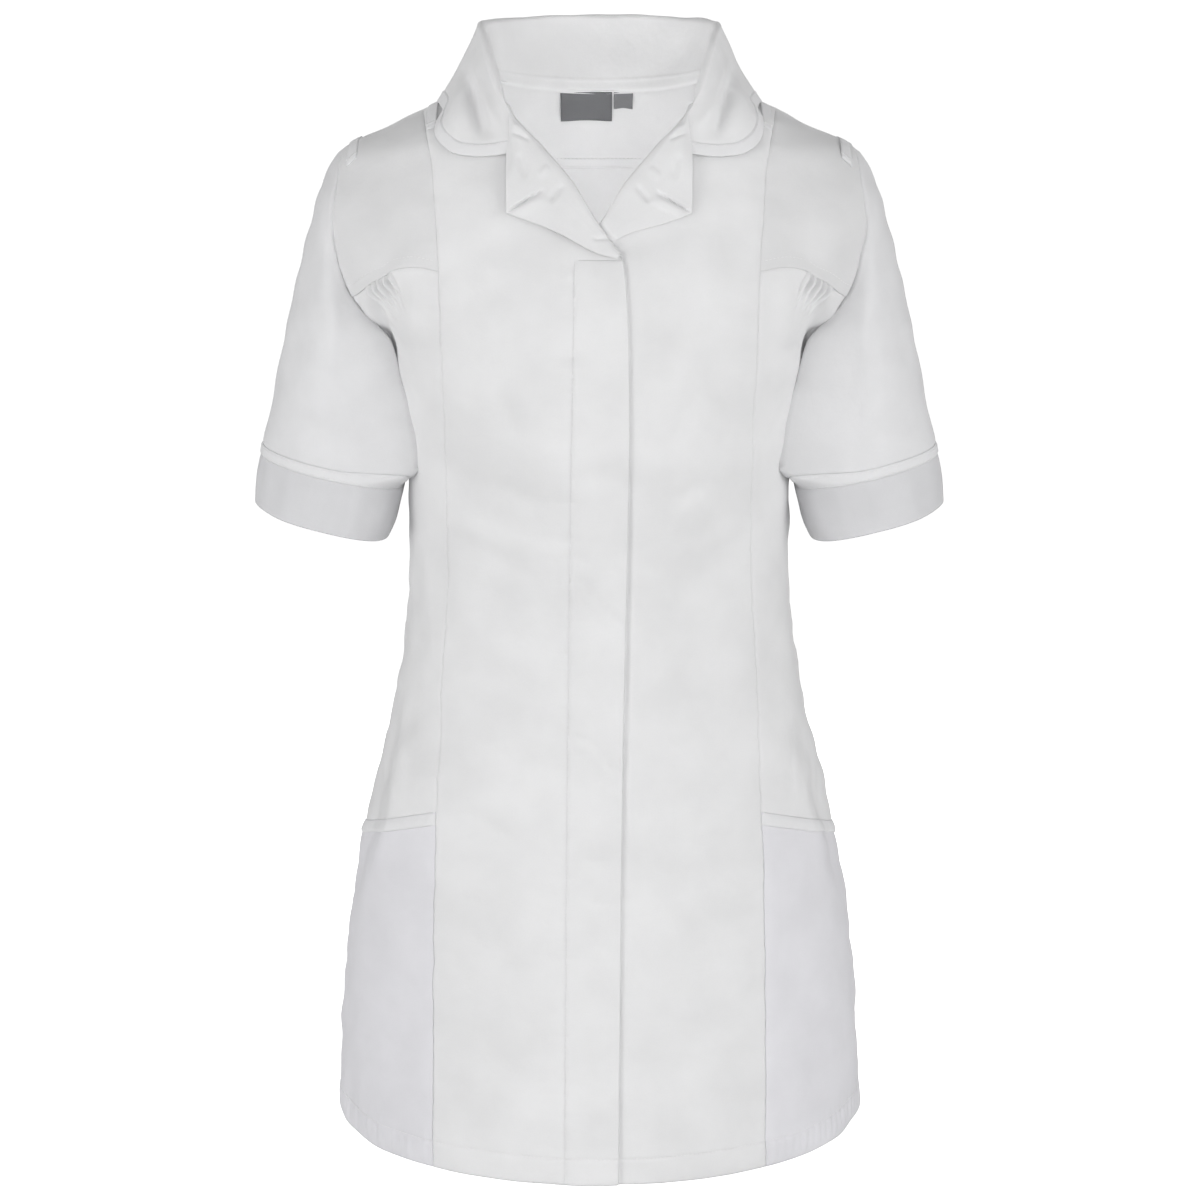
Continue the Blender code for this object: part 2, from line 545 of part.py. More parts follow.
def yoke_top(across):
    """Top edge of the yoke: shoulder seam from the tip to the neck, then the back neck."""
    far = abs(across)
    if far >= NECK_SHARE:
        share = (1 - far) / (1 - NECK_SHARE)
        angle, z = 90.0, SHOULDER_TIP_Z * (1 - share)
    else:
        share = far / NECK_SHARE
        angle = 180.0 - 90.0 * share
        z = NAPE_Z * (1 - share) ** 1.5
    return 180.0 - math.copysign(180.0 - angle, across), z


def sleeve_fold_depth(turn, share):
    """How far the folds carry the sleeve out, share of the way from armhole to trim."""
    depth = 0.0
    for fold in SLEEVE_FOLDS:
        off = (turn - fold.turn - fold.lean * share + 180.0) % 360.0 - 180.0
        depth += fold.depth * math.exp(-(off / fold.wide) ** 2)
    return depth * fold_strength(share, 0.5)


def sleeve_ring(row, turns):
    """Points round one sleeve section, on the wearer's left."""
    share = min(SLEEVE.index(row) / SLEEVE_TRIM_RING, 1.0)
    outer, inner = Vector((row.outer_x, 0, row.outer_z)), Vector((row.inner_x, 0, row.inner_z))
    first = SLEEVE[0]
    first_outer = Vector((first.outer_x, 0, first.outer_z))
    first_inner = Vector((first.inner_x, 0, first.inner_z))
    points = []
    for turn, is_front in turns:
        up, out = math.cos(math.radians(turn)), math.sin(math.radians(turn))
        fold = 1 + sleeve_fold_depth(turn if is_front else 360.0 - turn, share) / row.front
        depth = -row.front * out if is_front else row.back * out
        point = (outer + inner) / 2 + ((outer - inner) / 2 * up + Vector((0, depth, 0))) * fold
        flat_depth = -first.front * out if is_front else first.back * out
        flat = (first_outer + first_inner) / 2 + (first_outer - first_inner) / 2 * up
        flat += Vector((0, flat_depth, 0))
        seam_place = body_point(*armhole(turn, is_front))
        seam_place.x += TIP_STAND_OFF + (SLEEVE_STAND_OFF - TIP_STAND_OFF) * (1 - up) / 2
        point += (seam_place - flat) * row.armhole_share
        points.append(point)
    return points


def mirror(rows, side):
    return [[Vector((point[0] * side, point[1], point[2])) for point in row] for row in rows]


def make_sleeves():
    """Sleeve, trim band and cuff, each a tube round the arm's hollow."""
    turns = [(turn, True) for turn in reversed(ARMHOLE_UPPER_FRONT)]
    turns += [(turn, True) for turn in reversed(ARMHOLE_LOWER_FRONT[:-1])]
    turns += [(turn, False) for turn in ARMHOLE_LOWER_BACK[1:]]
    turns += [(turn, False) for turn in ARMHOLE_UPPER_BACK[1:-1]]
    rings = [sleeve_ring(row, turns) for row in SLEEVE]
    cut = SLEEVE_TRIM_RING
    for name, side in sides():
        tube = mirror(rings, side)
        sheet("sleeve_" + name, draw_in(tube[:cut + 1], SEAM_GAP / 2, True), closed=True)
        sheet("sleeve_trim_" + name, draw_in(tube[cut:cut + 2], SEAM_GAP / 2, True), closed=True)
        sheet("cuff_" + name, draw_in(tube[cut + 1:], SEAM_GAP / 2, True), closed=True)


def neck_seam():
    """Points of the neck's edge on the wearer's left, from the front up and round to centre back."""
    front = [body_point(*place) for place in seam_rows(FRONT_EDGE[NECK_ROW:])]
    yoke = [yoke_top(share) for share in np.linspace(-1.0, 1.0, BACK_COLUMNS)]
    back = [body_point(*place) for place in yoke if 90.0 < place[0] <= 180.0]
    return np.array(sorted(front + back, key=lambda point: point[1]))


def collar_profile(row, seam_line):
    """Section of the collar from the neck seam up over the fold and down to the outer edge."""
    x, z = (np.interp(row.seam_y, seam_line[:, 1], seam_line[:, axis]) for axis in (0, 2))
    seam, fold = Vector((x, row.seam_y, z + SEAM_GAP + WALL)), Vector(row.fold)
    leaf = on_body(row.edge_angle, row.edge_z, LEAF_LIFT)
    outward = leaf - fold
    outward.z = 0.0
    outward.normalize()
    up = Vector((0, 0, 1))
    roll = 0.0028
    inner_top = fold - outward * roll - up * roll
    outer_top = fold + outward * roll - up * roll * 0.8
    points = [seam.lerp(inner_top, share) for share in (0.0, 0.3, 0.65)]
    points += [inner_top, fold - outward * roll * 0.5, fold + outward * roll * 0.45, outer_top]
    fall = leaf - outer_top
    stand_off = (up - fall * (up.dot(fall) / fall.length_squared)).normalized()
    trim_share = 1 - TRIM_WIDTH / fall.length
    for share in (trim_share * 0.25, trim_share * 0.5, trim_share * 0.76, trim_share, 1.0):
        points.append(outer_top + fall * share + stand_off * row.bulge * math.sin(math.pi * share))
    return points


def make_collar():
    """Stand and leaf in one, with a trim band on the leaf's outer edge."""
    seam_line = neck_seam()
    half = [collar_profile(row, seam_line) for row in COLLAR]
    other = mirror(half[1:], -1)
    rows = list(reversed(other)) + half
    sheet("collar", rows, wall=COLLAR_WALL)
    grid = np.array([[tuple(point) for point in row[-2:]] for row in rows])
    inner, edge = grid[:, 0], grid[:, 1]
    normal = np.cross(inner - edge, np.gradient(edge, axis=0))
    normal /= np.linalg.norm(normal, axis=1)[:, None]
    away = edge - np.array(NECK_MIDDLE)
    normal *= np.sign(np.sum(normal * away, axis=1))[:, None]
    lifted = np.stack([inner + normal * ON_TOP, edge + normal * ON_TOP], axis=1)
    sheet("collar_trim", lifted)


def revers_point(row, side, share, beyond, lift):
    """Point of a revers: share of the way from roll line to outer edge, or beyond the roll line."""
    out = row.roll_out + (row.edge_out - row.roll_out) * share - beyond
    z = row.roll_z + (row.edge_z - row.roll_z) * share + beyond * 0.7
    return on_body(side * angle_at_out(out, z), z, lift)


def make_revers():
    """The facing rolls out over the neck edge and lies open; the right one is on top."""
    left = ("left", 1, LEFT_REVERS_LIFT, REVERS[:LEFT_REVERS_ROWS])
    for name, side, lift_share, used in (("right", -1, 1.0, REVERS), left):
        rows = [[revers_point(row, side, place.share, place.beyond, row.lift * lift_share * place.lift)
                 for place in REVERS_SECTION] for row in used]
        sheet("revers_" + name, rows)


def make_loops():
    """Narrow straps over the shoulder seam, sewn down before and behind."""
    for loop in LOOPS:
        rows = []
        for share in np.linspace(-1.0, 1.0, 9):
            row = []
            for edge in (-0.5, 0.5):
                out = loop.out + loop.width * edge
                reach = (loop.front_reach if share < 0 else loop.back_reach) * abs(share)
                place, outward = shoulder_point(out, reach, share < 0)
                row.append(place + outward * (LOOP_SEWN_LIFT + LOOP_STAND * (1 - share ** 6)))
            rows.append(row)
        for name, side in sides():
            sheet(loop.name + "_" + name, mirror(rows, side), wall=TAPE_WALL)


def z_on_shoulder(out):
    """Height of the shoulder seam this far out."""
    low, high = SHOULDER_TIP_Z - 0.012, 0.0
    for _ in range(40):
        middle = (low + high) / 2
        low, high = (middle, high) if body_half(middle) > out else (low, middle)
    return (low + high) / 2


def shoulder_point(out, reach, is_front):
    """Point and outward direction on the shoulder, reach before or behind its seam."""
    high = z_on_shoulder(out)
    low = high - 0.08
    for _ in range(40):
        middle = (low + high) / 2
        angle = angle_at_out(out, middle)
        angle = angle if is_front else 180.0 - angle
        low, high = (middle, high) if abs(body_point(angle, middle).y) > reach else (low, middle)
    z = (low + high) / 2
    angle = angle_at_out(out, z)
    angle = angle if is_front else 180.0 - angle
    return body_point(angle, z), body_normal(angle, z)


def make_labels():
    """Woven label and size tab, sewn into the back neck seam and hanging inside the yoke."""
    for label in LABELS:
        rows = []
        for fall in np.linspace(0.0, 1.0, 4):
            row = []
            for share in np.linspace(0.0, 1.0, 4):
                x = label.left + (label.right - label.left) * share
                z = NAPE_Z - 0.002 - label.drop * fall
                angle = 180.0 - angle_at_out(x, z)
                row.append(on_body(angle, z, label.lift - LABEL_HANG * fall))
            rows.append(row)
        sheet(label.name, rows, wall=TAPE_WALL, colour=LABEL_GREY, roughness=0.6)


for existing in list(bpy.data.objects):
    bpy.data.objects.remove(existing, do_unlink=True)
tunic_pieces = bpy.data.collections.new("work_tunic")
bpy.context.scene.collection.children.link(tunic_pieces)

make_fronts()
make_side_fronts()
make_back()
make_sleeves()
make_collar()
make_revers()
make_loops()
make_labels()
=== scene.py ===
"""Short-sleeved work tunic as worn, with no wearer: the cloth, its sewing and its labels, set round
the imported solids. Metres, +Z up, the front faces -Y and the wearer's left is +X.
"""
import math

import bpy
import numpy as np
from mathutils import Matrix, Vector


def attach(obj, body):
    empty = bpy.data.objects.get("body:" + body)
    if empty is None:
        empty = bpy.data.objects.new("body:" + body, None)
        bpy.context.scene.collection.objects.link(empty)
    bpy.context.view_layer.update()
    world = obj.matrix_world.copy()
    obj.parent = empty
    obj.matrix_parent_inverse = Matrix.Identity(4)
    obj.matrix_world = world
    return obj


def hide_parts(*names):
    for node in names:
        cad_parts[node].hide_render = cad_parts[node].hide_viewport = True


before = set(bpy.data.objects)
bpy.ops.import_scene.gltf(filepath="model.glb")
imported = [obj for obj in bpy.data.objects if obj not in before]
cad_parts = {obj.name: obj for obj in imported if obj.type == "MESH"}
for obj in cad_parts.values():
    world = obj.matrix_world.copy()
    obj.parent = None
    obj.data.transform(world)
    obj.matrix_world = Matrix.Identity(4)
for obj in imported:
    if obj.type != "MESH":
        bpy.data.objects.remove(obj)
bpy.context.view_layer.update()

# Fronts, right over left at the centre, each cut in one from hem to shoulder in white plain-woven
# polyester and cotton. The body they hang on and the folds of the whole tunic are worked out here.
PLY = 0.0006               # one ply of cloth as shown
HEM_Z = -0.7705            # at centre front and back
HEM_DEPTH = 0.019
ROW_STEP, COLUMN_STEP = 0.0030, 0.0042
UNDERLAP = 0.0014          # drop of the left front where it lies under the right one
UNDERLAP_REACH, UNDERLAP_SLOPE = 0.0058, 0.0048       # how far beyond the right one's edge it drops
NECK_COLUMN_SHARE = 0.27   # share of the front's width, from its edge, to the fly's line over the break
CLOTH_WHITE = (0.80, 0.80, 0.805)
SIDES = (("right", -1), ("left", 1))

# Level sections of the body: height, half width, depth in front, depth behind, power of the outline.
BODY = np.array([
    (HEM_Z, 0.1960, 0.1520, 0.1530, 2.10), (-0.700, 0.1923, 0.1465, 0.1490, 2.12),
    (-0.640, 0.1872, 0.1410, 0.1440, 2.15), (-0.577, 0.1786, 0.1350, 0.1360, 2.18),
    (-0.515, 0.1657, 0.1280, 0.1230, 2.20), (-0.454, 0.1508, 0.1195, 0.1050, 2.20),
    (-0.393, 0.1404, 0.1120, 0.0905, 2.20), (-0.333, 0.1370, 0.1115, 0.0865, 2.20),
    (-0.285, 0.1375, 0.1190, 0.0935, 2.20), (-0.245, 0.1412, 0.1265, 0.1020, 2.20),
    (-0.205, 0.1500, 0.1270, 0.1075, 2.20), (-0.180, 0.1570, 0.1240, 0.1095, 2.20),
    (-0.160, 0.1776, 0.1190, 0.1100, 2.20), (-0.140, 0.1955, 0.1135, 0.1095, 2.20),
    (-0.120, 0.2060, 0.1070, 0.1080, 2.20), (-0.100, 0.2115, 0.0985, 0.1060, 2.20),
    (-0.080, 0.2060, 0.0900, 0.1030, 2.20), (-0.060, 0.1920, 0.0800, 0.0985, 2.20),
    (-0.048, 0.1780, 0.0740, 0.0945, 2.20), (-0.035, 0.1495, 0.0665, 0.0880, 2.20),
    (-0.020, 0.1176, 0.0570, 0.0775, 2.20), (0.0, 0.0700, 0.0460, 0.0560, 2.20)])
# Soft folds of the body's cloth: angle round from centre front, top, foot, share of the way down to
# the deepest place, lean and half width in degrees, and depth outward.
FOLDS = [
    (-60.0, -0.425, -0.600, 0.60, -4.0, 5.0, 0.0034), (-73.0, -0.400, -0.610, 0.65, -5.0, 5.5, -0.0038),
    (60.0, -0.430, -0.590, 0.60, 4.0, 5.0, 0.0032), (72.0, -0.405, -0.620, 0.65, 5.0, 5.5, -0.0040),
    (-33.0, -0.245, -0.490, 0.45, 5.0, 10.0, -0.0036), (34.0, -0.240, -0.480, 0.45, -5.0, 10.0, -0.0036),
    (-50.0, -0.640, HEM_Z, 1.0, -2.0, 7.5, 0.0010), (-66.0, -0.620, HEM_Z, 1.0, -2.0, 8.0, -0.0012),
    (52.0, -0.650, HEM_Z, 1.0, 2.0, 7.5, 0.0008), (67.0, -0.610, HEM_Z, 1.0, 2.0, 8.0, -0.0013),
    (116.0, -0.520, HEM_Z, 1.0, 3.0, 9.0, 0.0062), (138.0, -0.560, HEM_Z, 1.0, 2.0, 9.5, -0.0060),
    (160.0, -0.500, HEM_Z, 1.0, 1.0, 9.5, 0.0066), (183.0, -0.550, HEM_Z, 1.0, 0.0, 9.5, -0.0054),
    (206.0, -0.510, HEM_Z, 1.0, -1.0, 9.5, 0.0062), (228.0, -0.570, HEM_Z, 1.0, -2.0, 9.5, -0.0058),
    (247.0, -0.530, HEM_Z, 1.0, -3.0, 9.0, 0.0058), (138.0, -0.250, -0.540, 0.55, 9.0, 10.0, -0.0062),
    (161.0, -0.280, -0.520, 0.50, 5.0, 9.0, 0.0042), (222.0, -0.245, -0.535, 0.55, -10.0, 10.0, -0.0066),
    (199.0, -0.270, -0.510, 0.50, -5.0, 9.0, 0.0044)]


def creases_mm(table):
    """Creases by out and height of both ends, half width and depth outward, from millimetres."""
    return np.array(table) / 1000.0


FRONT_CREASES = creases_mm([
    (-15.2, -131.8, -5.8, -150, 2.2, -0.6), (-6.4, -148, 3, -156.8, 2, -0.4),
    (-18, -314.5, -0.3, -337.2, 3.4, -2.1), (-16.6, -330, -1.2, -357, 5.9, -3.8),
    (-3.4, -349, 18, -376.5, 5.3, -2.4), (0.5, -328.8, 19.8, -333.6, 3.7, -1.4),
    (-20.4, -447.5, 0.2, -458, 5.9, -3.2), (-4.6, -454, 16.2, -480.5, 5.6, -3.7),
    (-13.4, -535.2, 11.4, -540.2, 5.3, -2.2), (-12.6, -566.8, 11.4, -569, 5.3, -1.9),
    (-3.4, -593.5, 11.4, -608, 5.3, -2.2), (-78, -193, -46, -250, 7.5, -1.2),
    (70.5, -193, 45.5, -251, 7.5, -1.2), (-57.5, -176, -45, -254, 3, 0.4),
    (58, -177, 46.5, -253, 3, 0.4), (-81, -264, -38, -288, 8, -1.2), (82, -263, 42, -290, 8, -1.2),
    (-105, -299, -50, -317.5, 8, 1.1), (-64, -315, -16, -318.5, 7.5, 0.8),
    (107, -299, 64, -318, 8, 1.1), (72, -316.5, 22, -323, 7.5, 0.8), (-80, -324, -27, -346, 10, -1.4),
    (23, -325.5, 70, -347, 10, -1.3), (-100, -501, -59, -525, 8.5, -0.9),
    (89.5, -500, 54, -525, 8.5, -0.9), (-70, -625, -48, -662, 10, -0.8),
    (56, -562, 80, -606, 10, -0.9), (-160.5, -448, -161, -530, 4, -1.3),
    (-140, -460, -135.2, -515, 3.8, -0.9), (-150, -464, -149, -520, 3.6, 0.8),
    (160, -449, 162, -530, 4, -1.3), (140.5, -458, 136, -515, 3.8, -0.9),
    (150, -465, 149.4, -521, 3.6, 0.8), (-134, -112, -164, -133, 6, -2),
    (134.5, -112, 165, -132, 6, -2), (-127, -125, -131, -190, 10, 2.8),
    (127, -125, 131, -188, 10, 2.8), (-157, -140, -144, -200, 6.6, -5.4),
    (157, -140, 144, -200, 6.6, -5.4), (-190, -105, -150, -116, 8, 1), (190, -104, 150, -115, 8, 1),
    (-98, -70, -86, -150, 10, -1.2), (98.5, -70, 88, -148, 10, -1.2)])
BACK_CREASES = creases_mm([
    (-62, -296, -8, -336, 8, -1.5), (66, -290, 12, -333, 8, -1.4), (-50, -344, 22, -369, 8, -1.2),
    (90, -350, 36, -393, 7.2, -1.2), (-98, -344, -44, -387, 7.2, -1.2), (-72, -150, -28, -207, 8, -1),
    (76, -146, 32, -200, 8, -1), (-32, -560, 32, -576, 8, -0.8), (56, -648, 76, -556, 7.2, -1),
    (-62, -660, -80, -566, 7.2, -1), (0, -120, 4, -180, 6, 0.7), (-122, -130, -102, -176, 6, -1.1),
    (121, -128, 100, -174, 6, -1.1)])
# Height and distance out of the princess seam and of the centre edge, from hem to shoulder seam.
PRINCESS = np.array([
    (-0.7685, 0.1199), (-0.7495, 0.1197), (-0.700, 0.1194), (-0.640, 0.1188), (-0.577, 0.1178),
    (-0.5190, 0.1160), (-0.5100, 0.1156), (-0.455, 0.1133), (-0.407, 0.1113), (-0.362, 0.1084),
    (-0.322, 0.1066), (-0.288, 0.1066), (-0.258, 0.1069), (-0.235, 0.1072), (-0.215, 0.1076),
    (-0.195, 0.1083), (-0.176, 0.1088), (-0.158, 0.1090), (-0.141, 0.1093), (-0.1243, 0.1102),
    (-0.107, 0.1109), (-0.090, 0.1121), (-0.073, 0.1136), (-0.0565, 0.1151), (-0.0425, 0.1178),
    (-0.0315, 0.1205), (-0.0250, 0.1224), (-0.0225, 0.1240)])
FRONT_EDGE = np.array([
    (HEM_Z, -0.0134), (HEM_Z + HEM_DEPTH, -0.0135), (-0.700, -0.0139), (-0.640, -0.0145),
    (-0.577, -0.0150), (-0.5170, -0.0156), (-0.5080, -0.0157), (-0.455, -0.0165), (-0.407, -0.0175),
    (-0.362, -0.0184), (-0.322, -0.0192), (-0.286, -0.0198), (-0.255, -0.0203), (-0.231, -0.0204),
    (-0.210, -0.0203), (-0.190, -0.0201), (-0.170, -0.0199), (-0.150, -0.0190), (-0.132, -0.0178),
    (-0.1155, -0.0158), (-0.0990, -0.0018), (-0.0815, 0.0110), (-0.0612, 0.0255), (-0.0446, 0.0408),
    (-0.0318, 0.0548), (-0.0195, 0.0640), (-0.0070, 0.0692), (0.0, 0.0700)])
FLY_STITCH = np.array([(HEM_Z, 0.0245), (-0.500, 0.0225), (-0.1155, 0.0168)])
BREAK_ROW = 19             # row of the break, where the revers turns back


def smooth_curve(keys, values):
    """Monotone cubic through keys, which rise, and values."""
    keys, values = np.asarray(keys, float), np.asarray(values, float)
    step = np.diff(keys)
    slope = np.diff(values) / step
    product, total = slope[:-1] * slope[1:], slope[:-1] + slope[1:]
    middle = np.where(product > 0, 2 * product / np.where(total == 0, 1.0, total), 0.0)
    tangent = np.concatenate([slope[:1], middle, slope[-1:]])

    def value_at(key):
        key = np.clip(key, keys[0], keys[-1])
        i = np.clip(np.searchsorted(keys, key) - 1, 0, len(step) - 1)
        t = (key - keys[i]) / step[i]
        return (values[i] * (2 * t ** 3 - 3 * t ** 2 + 1) + values[i + 1] * (3 * t ** 2 - 2 * t ** 3)
                + step[i] * (tangent[i] * (t ** 3 - 2 * t ** 2 + t) + tangent[i + 1] * (t ** 3 - t ** 2)))

    return value_at


body_half, body_front, body_back, body_square = (smooth_curve(BODY[:, 0], BODY[:, i]) for i in range(1, 5))
fly_stitch_out = smooth_curve(FLY_STITCH[:, 0], FLY_STITCH[:, 1])


def ease(share):
    """Soft step from 0 to 1."""
    share = np.clip(share, 0.0, 1.0)
    return share * share * (3 - 2 * share)


def near_line(distance, reach):
    """1 on a line, and next to nothing at twice this reach from it."""
    return np.exp(-(distance / reach) ** 2)


def fold_strength(share, peak):
    """Rises softly from a fold's top to its deepest place and falls again to its foot."""
    if peak == 1.0:
        return ease(share)
    return np.where(share <= peak, ease(share / peak), ease((1 - share) / (1 - peak)))


def form_point(angle, z):
    """Point of the body's form, angle degrees round from centre front, positive to the left."""
    angle, z = np.broadcast_arrays(np.asarray(angle, float), np.asarray(z, float))
    across, along = np.sin(np.radians(angle)), np.cos(np.radians(angle))
    power, half = 2 / body_square(z), body_half(z)
    depth = np.where(along > 0, body_front(z), body_back(z))
    folds = np.zeros_like(z)
    for place, top, foot, peak, lean, wide, deep in FOLDS:
        share = (top - z) / (top - foot)
        off = (angle - place - lean * share + 180.0) % 360.0 - 180.0
        folds += deep * fold_strength(share, peak) * near_line(off, wide)
    point = np.stack([half * np.sign(across) * np.abs(across) ** power,
                      -depth * np.sign(along) * np.abs(along) ** power, z], -1)
    outward = np.stack([depth * across, -half * along, np.zeros_like(z)], -1)
    return point + outward / np.linalg.norm(outward, axis=-1, keepdims=True) * folds[..., None]


def form_normal(angle, z):
    """Outward direction of the body's form."""
    turn, rise = 0.5, 0.001
    round_step = form_point(angle + turn, z) - form_point(angle - turn, z)
    up_step = form_point(angle, np.minimum(z + rise, 0.0)) - form_point(angle, np.maximum(z - rise, HEM_Z))
    normal = np.cross(round_step, up_step)
    return normal / np.linalg.norm(normal, axis=-1, keepdims=True)


def angle_at_out(out, z):
    """Angle on the front where the form is this far out from the centre line."""
    share = np.minimum(np.abs(out) / body_half(z), 1.0)
    return np.copysign(np.degrees(np.arcsin(share ** (body_square(z) / 2))), out)


def crease_depth(creases, across, height):
    """Soft troughs and ridges along given lines, each with its cloth pushed up beside it."""
    total = np.zeros_like(height)
    for x1, z1, x2, z2, wide, deep in creases:
        run, rise = x2 - x1, z2 - z1
        length = math.hypot(run, rise)
        along = ((across - x1) * run + (height - z1) * rise) / length ** 2
        off = ((across - x1) * rise - (height - z1) * run) / length / wide
        fade = ease(np.minimum(along, 1 - along) / 0.35)
        total += deep * fade * (1 - 0.7 * off ** 2) * np.exp(-off ** 2)
    return total


ruffle_draw = np.random.default_rng(19)
ruffle_turn = ruffle_draw.normal(size=(30, 3))
ruffle_turn /= np.linalg.norm(ruffle_turn, axis=1, keepdims=True)
ruffle_wave = ruffle_turn * 2 * math.pi / ruffle_draw.uniform(0.024, 0.066, size=(30, 1))
ruffle_start = ruffle_draw.uniform(0, 2 * math.pi, 30)
RUFFLE_HEIGHT = 0.00013


def ruffle(point):
    """Faint unevenness of cloth that has been washed and pressed."""
    waves = np.sin(point @ ruffle_wave.T + ruffle_start)
    return RUFFLE_HEIGHT * waves.sum(axis=-1)


def lay(angle, z, lift=0.0):
    """Cloth on the body's form, this far off it, with the form's folds, creases and ruffles."""
    point, normal = form_point(angle, z), form_normal(angle, z)
    before, behind = ease(-point[..., 1] / 0.03), ease(point[..., 1] / 0.03)
    off = lift + ruffle(point)
    off = off + before * crease_depth(FRONT_CREASES, point[..., 0], point[..., 2])
    off = off + behind * crease_depth(BACK_CREASES, point[..., 0], point[..., 2])
    return point + normal * np.asarray(off)[..., None]


def lay_panel(patch, lift, side=1):
    """Cloth on the form by its grid of angles and heights, or by the same ones on the other side."""
    return lay(side * patch[..., 0], patch[..., 1], lift)


def seam_roll(distance):
    """Cloth turning down into a seam, so that the two sides close it."""
    return -0.0006 * near_line(distance, 0.0012)


def uneven(along, close, drift, sway, wide, start=0.0):
    """Ripples along a line of sewing: close ones whose spacing drifts, over wider ones."""
    return 0.6 * np.sin(along * close + drift * np.sin(along * sway)) + 0.4 * np.sin(along * wide + start)


def pucker(along, distance, height=0.0004, reach=0.005):
    """Small uneven ripples that a line of sewing draws up beside it."""
    return height * np.exp(-np.abs(distance) / reach) * uneven(along, 650, 1.7, 103, 440, 2.0)


def hem_relief(up, along, height=0.0003, close=1.0):
    """A turned-up hem: a little thicker, drawn in where it is sewn, and rippled between."""
    up = np.abs(up)
    thick = 0.0003 * (1 - ease((up - HEM_DEPTH) / 0.003))
    sewn = -0.0007 * near_line(up - HEM_DEPTH, 0.0012)
    edge = -0.0006 * near_line(up, 0.0014)
    ripple = uneven(along, 560 * close, 2.0, 47, 310 * close, 1.0)
    above = ease(up / HEM_DEPTH) * (1 - ease((up - HEM_DEPTH) / 0.012))
    within = np.sin(np.pi * np.clip(up / HEM_DEPTH, 0, 1)) + 0.3 * above
    return thick + sewn + edge + height * within * ripple


CLOSE_STEPS, CLEAR_OF_CLOSE = (-0.0024, -0.0013, -0.0006, 0.0, 0.0006, 0.0013, 0.0024), 0.0014


def spread(length, step, lines=()):
    """Distances along a piece, evenly spaced and closer by each sewn line or edge."""
    near = sorted({round(line + off, 6) for line in lines for off in CLOSE_STEPS
                   if -1e-6 <= line + off <= length + 1e-6})
    even = np.linspace(0, length, max(int(round(length / step)), 1) + 1)
    kept = [e for e in even if all(abs(e - n) > CLEAR_OF_CLOSE for n in near)]
    return np.array(sorted(kept + near))


def add_between(places, more, gap):
    """The same distances and those of more that are further than the gap from them."""
    return np.sort(np.concatenate([places, [m for m in more if np.abs(places - m).min() > gap]]))


def fit_width(distances, width, keep=0.006):
    """The same distances on rows of other widths; those by the two edges keep theirs."""
    whole = distances[-1]
    ramp = np.clip((distances - keep) / (whole - 2 * keep), 0, 1)
    return distances + (np.asarray(width)[:, None] - whole) * ramp


def line_length(places):
    """Distance along a line of points, from its start."""
    return np.concatenate([[0.0], np.cumsum(np.linalg.norm(np.diff(places, axis=0), axis=1))])


def along_line(places, gone, values):
    """Values of a line's points at these distances along it."""
    return np.stack([np.interp(places, gone, column) for column in values.T], -1)


def row_width(start, end):
    """Width of each row of a panel, along the form."""
    shares = np.linspace(0, 1, 9)
    line = start[:, None] + (end - start)[:, None] * shares[None, :, None]
    return np.linalg.norm(np.diff(form_point(line[..., 0], line[..., 1]), axis=1), axis=-1).sum(axis=1)


def between(start, end, share):
    """Angles and heights across a panel, at shares of each row."""
    return start[:, None] + (end - start)[:, None] * share[..., None]


def panel(start, end, lines=(0.0, 1.0), columns=None):
    """Width of each row of a panel, distances across it, and the angles and heights there."""
    width = row_width(start, end)
    if columns is None:
        columns = spread(width.mean(), COLUMN_STEP, [line * width.mean() for line in lines])
    across = fit_width(columns, width)
    return width[:, None], across, between(start, end, across / width[:, None])


def seam_curve(table):
    """Angle and height up a front seam, by its row."""
    rows = np.arange(len(table))
    z_at, out_at = smooth_curve(rows, table[:, 0]), smooth_curve(rows, table[:, 1])

    def place(row):
        return np.stack([angle_at_out(out_at(row), z_at(row)), z_at(row)], -1)

    return place


princess, front_edge = seam_curve(PRINCESS), seam_curve(FRONT_EDGE)


def fly_line(row):
    """Line of the fly's stitching, running on above the break towards the shoulder."""
    outer, edge = princess(row), front_edge(row)
    z = edge[:, 1]
    sewn = np.stack([angle_at_out(fly_stitch_out(z), z), z], -1)
    beyond = ease((row - BREAK_ROW) / 2.0)[:, None]
    return sewn * (1 - beyond) + (edge + (outer - edge) * NECK_COLUMN_SHARE) * beyond


INSIDE_HEM = [-0.0180, -0.0140, -0.0100, -0.0060, -0.0030, -0.0015, -0.0006]


def rows_up(seam, first, last, hemmed=True):
    """Rows between two rows of a seam's table: distance up the cloth, below 0 inside the hem."""
    fine = np.linspace(first, last, 60 * (last - first) + 1)
    places = seam(fine)
    length = line_length(form_point(places[:, 0], places[:, 1]))
    up = spread(length[-1], ROW_STEP, (0.0, HEM_DEPTH, length[-1]) if hemmed else (0.0, length[-1]))
    if hemmed:
        up = np.concatenate([INSIDE_HEM, up])
    return up, np.interp(np.abs(up), length, fine)


def row_at(height, up, rows):
    """Row at this height up the cloth, from the heights and rows that rows_up gave."""
    return np.interp(height, up[len(INSIDE_HEM):], rows[len(INSIDE_HEM):])


def turn_up(up):
    """Drop of the turned-up part of the hem behind the cloth it is sewn to."""
    return np.where(up < 0, -0.0013 * ease(-up / 0.0012), 0.0)


def round_form(patch, radius=0.14):
    """Distance round the form from centre front, about this far from its middle."""
    return np.radians(patch[..., 0]) * radius


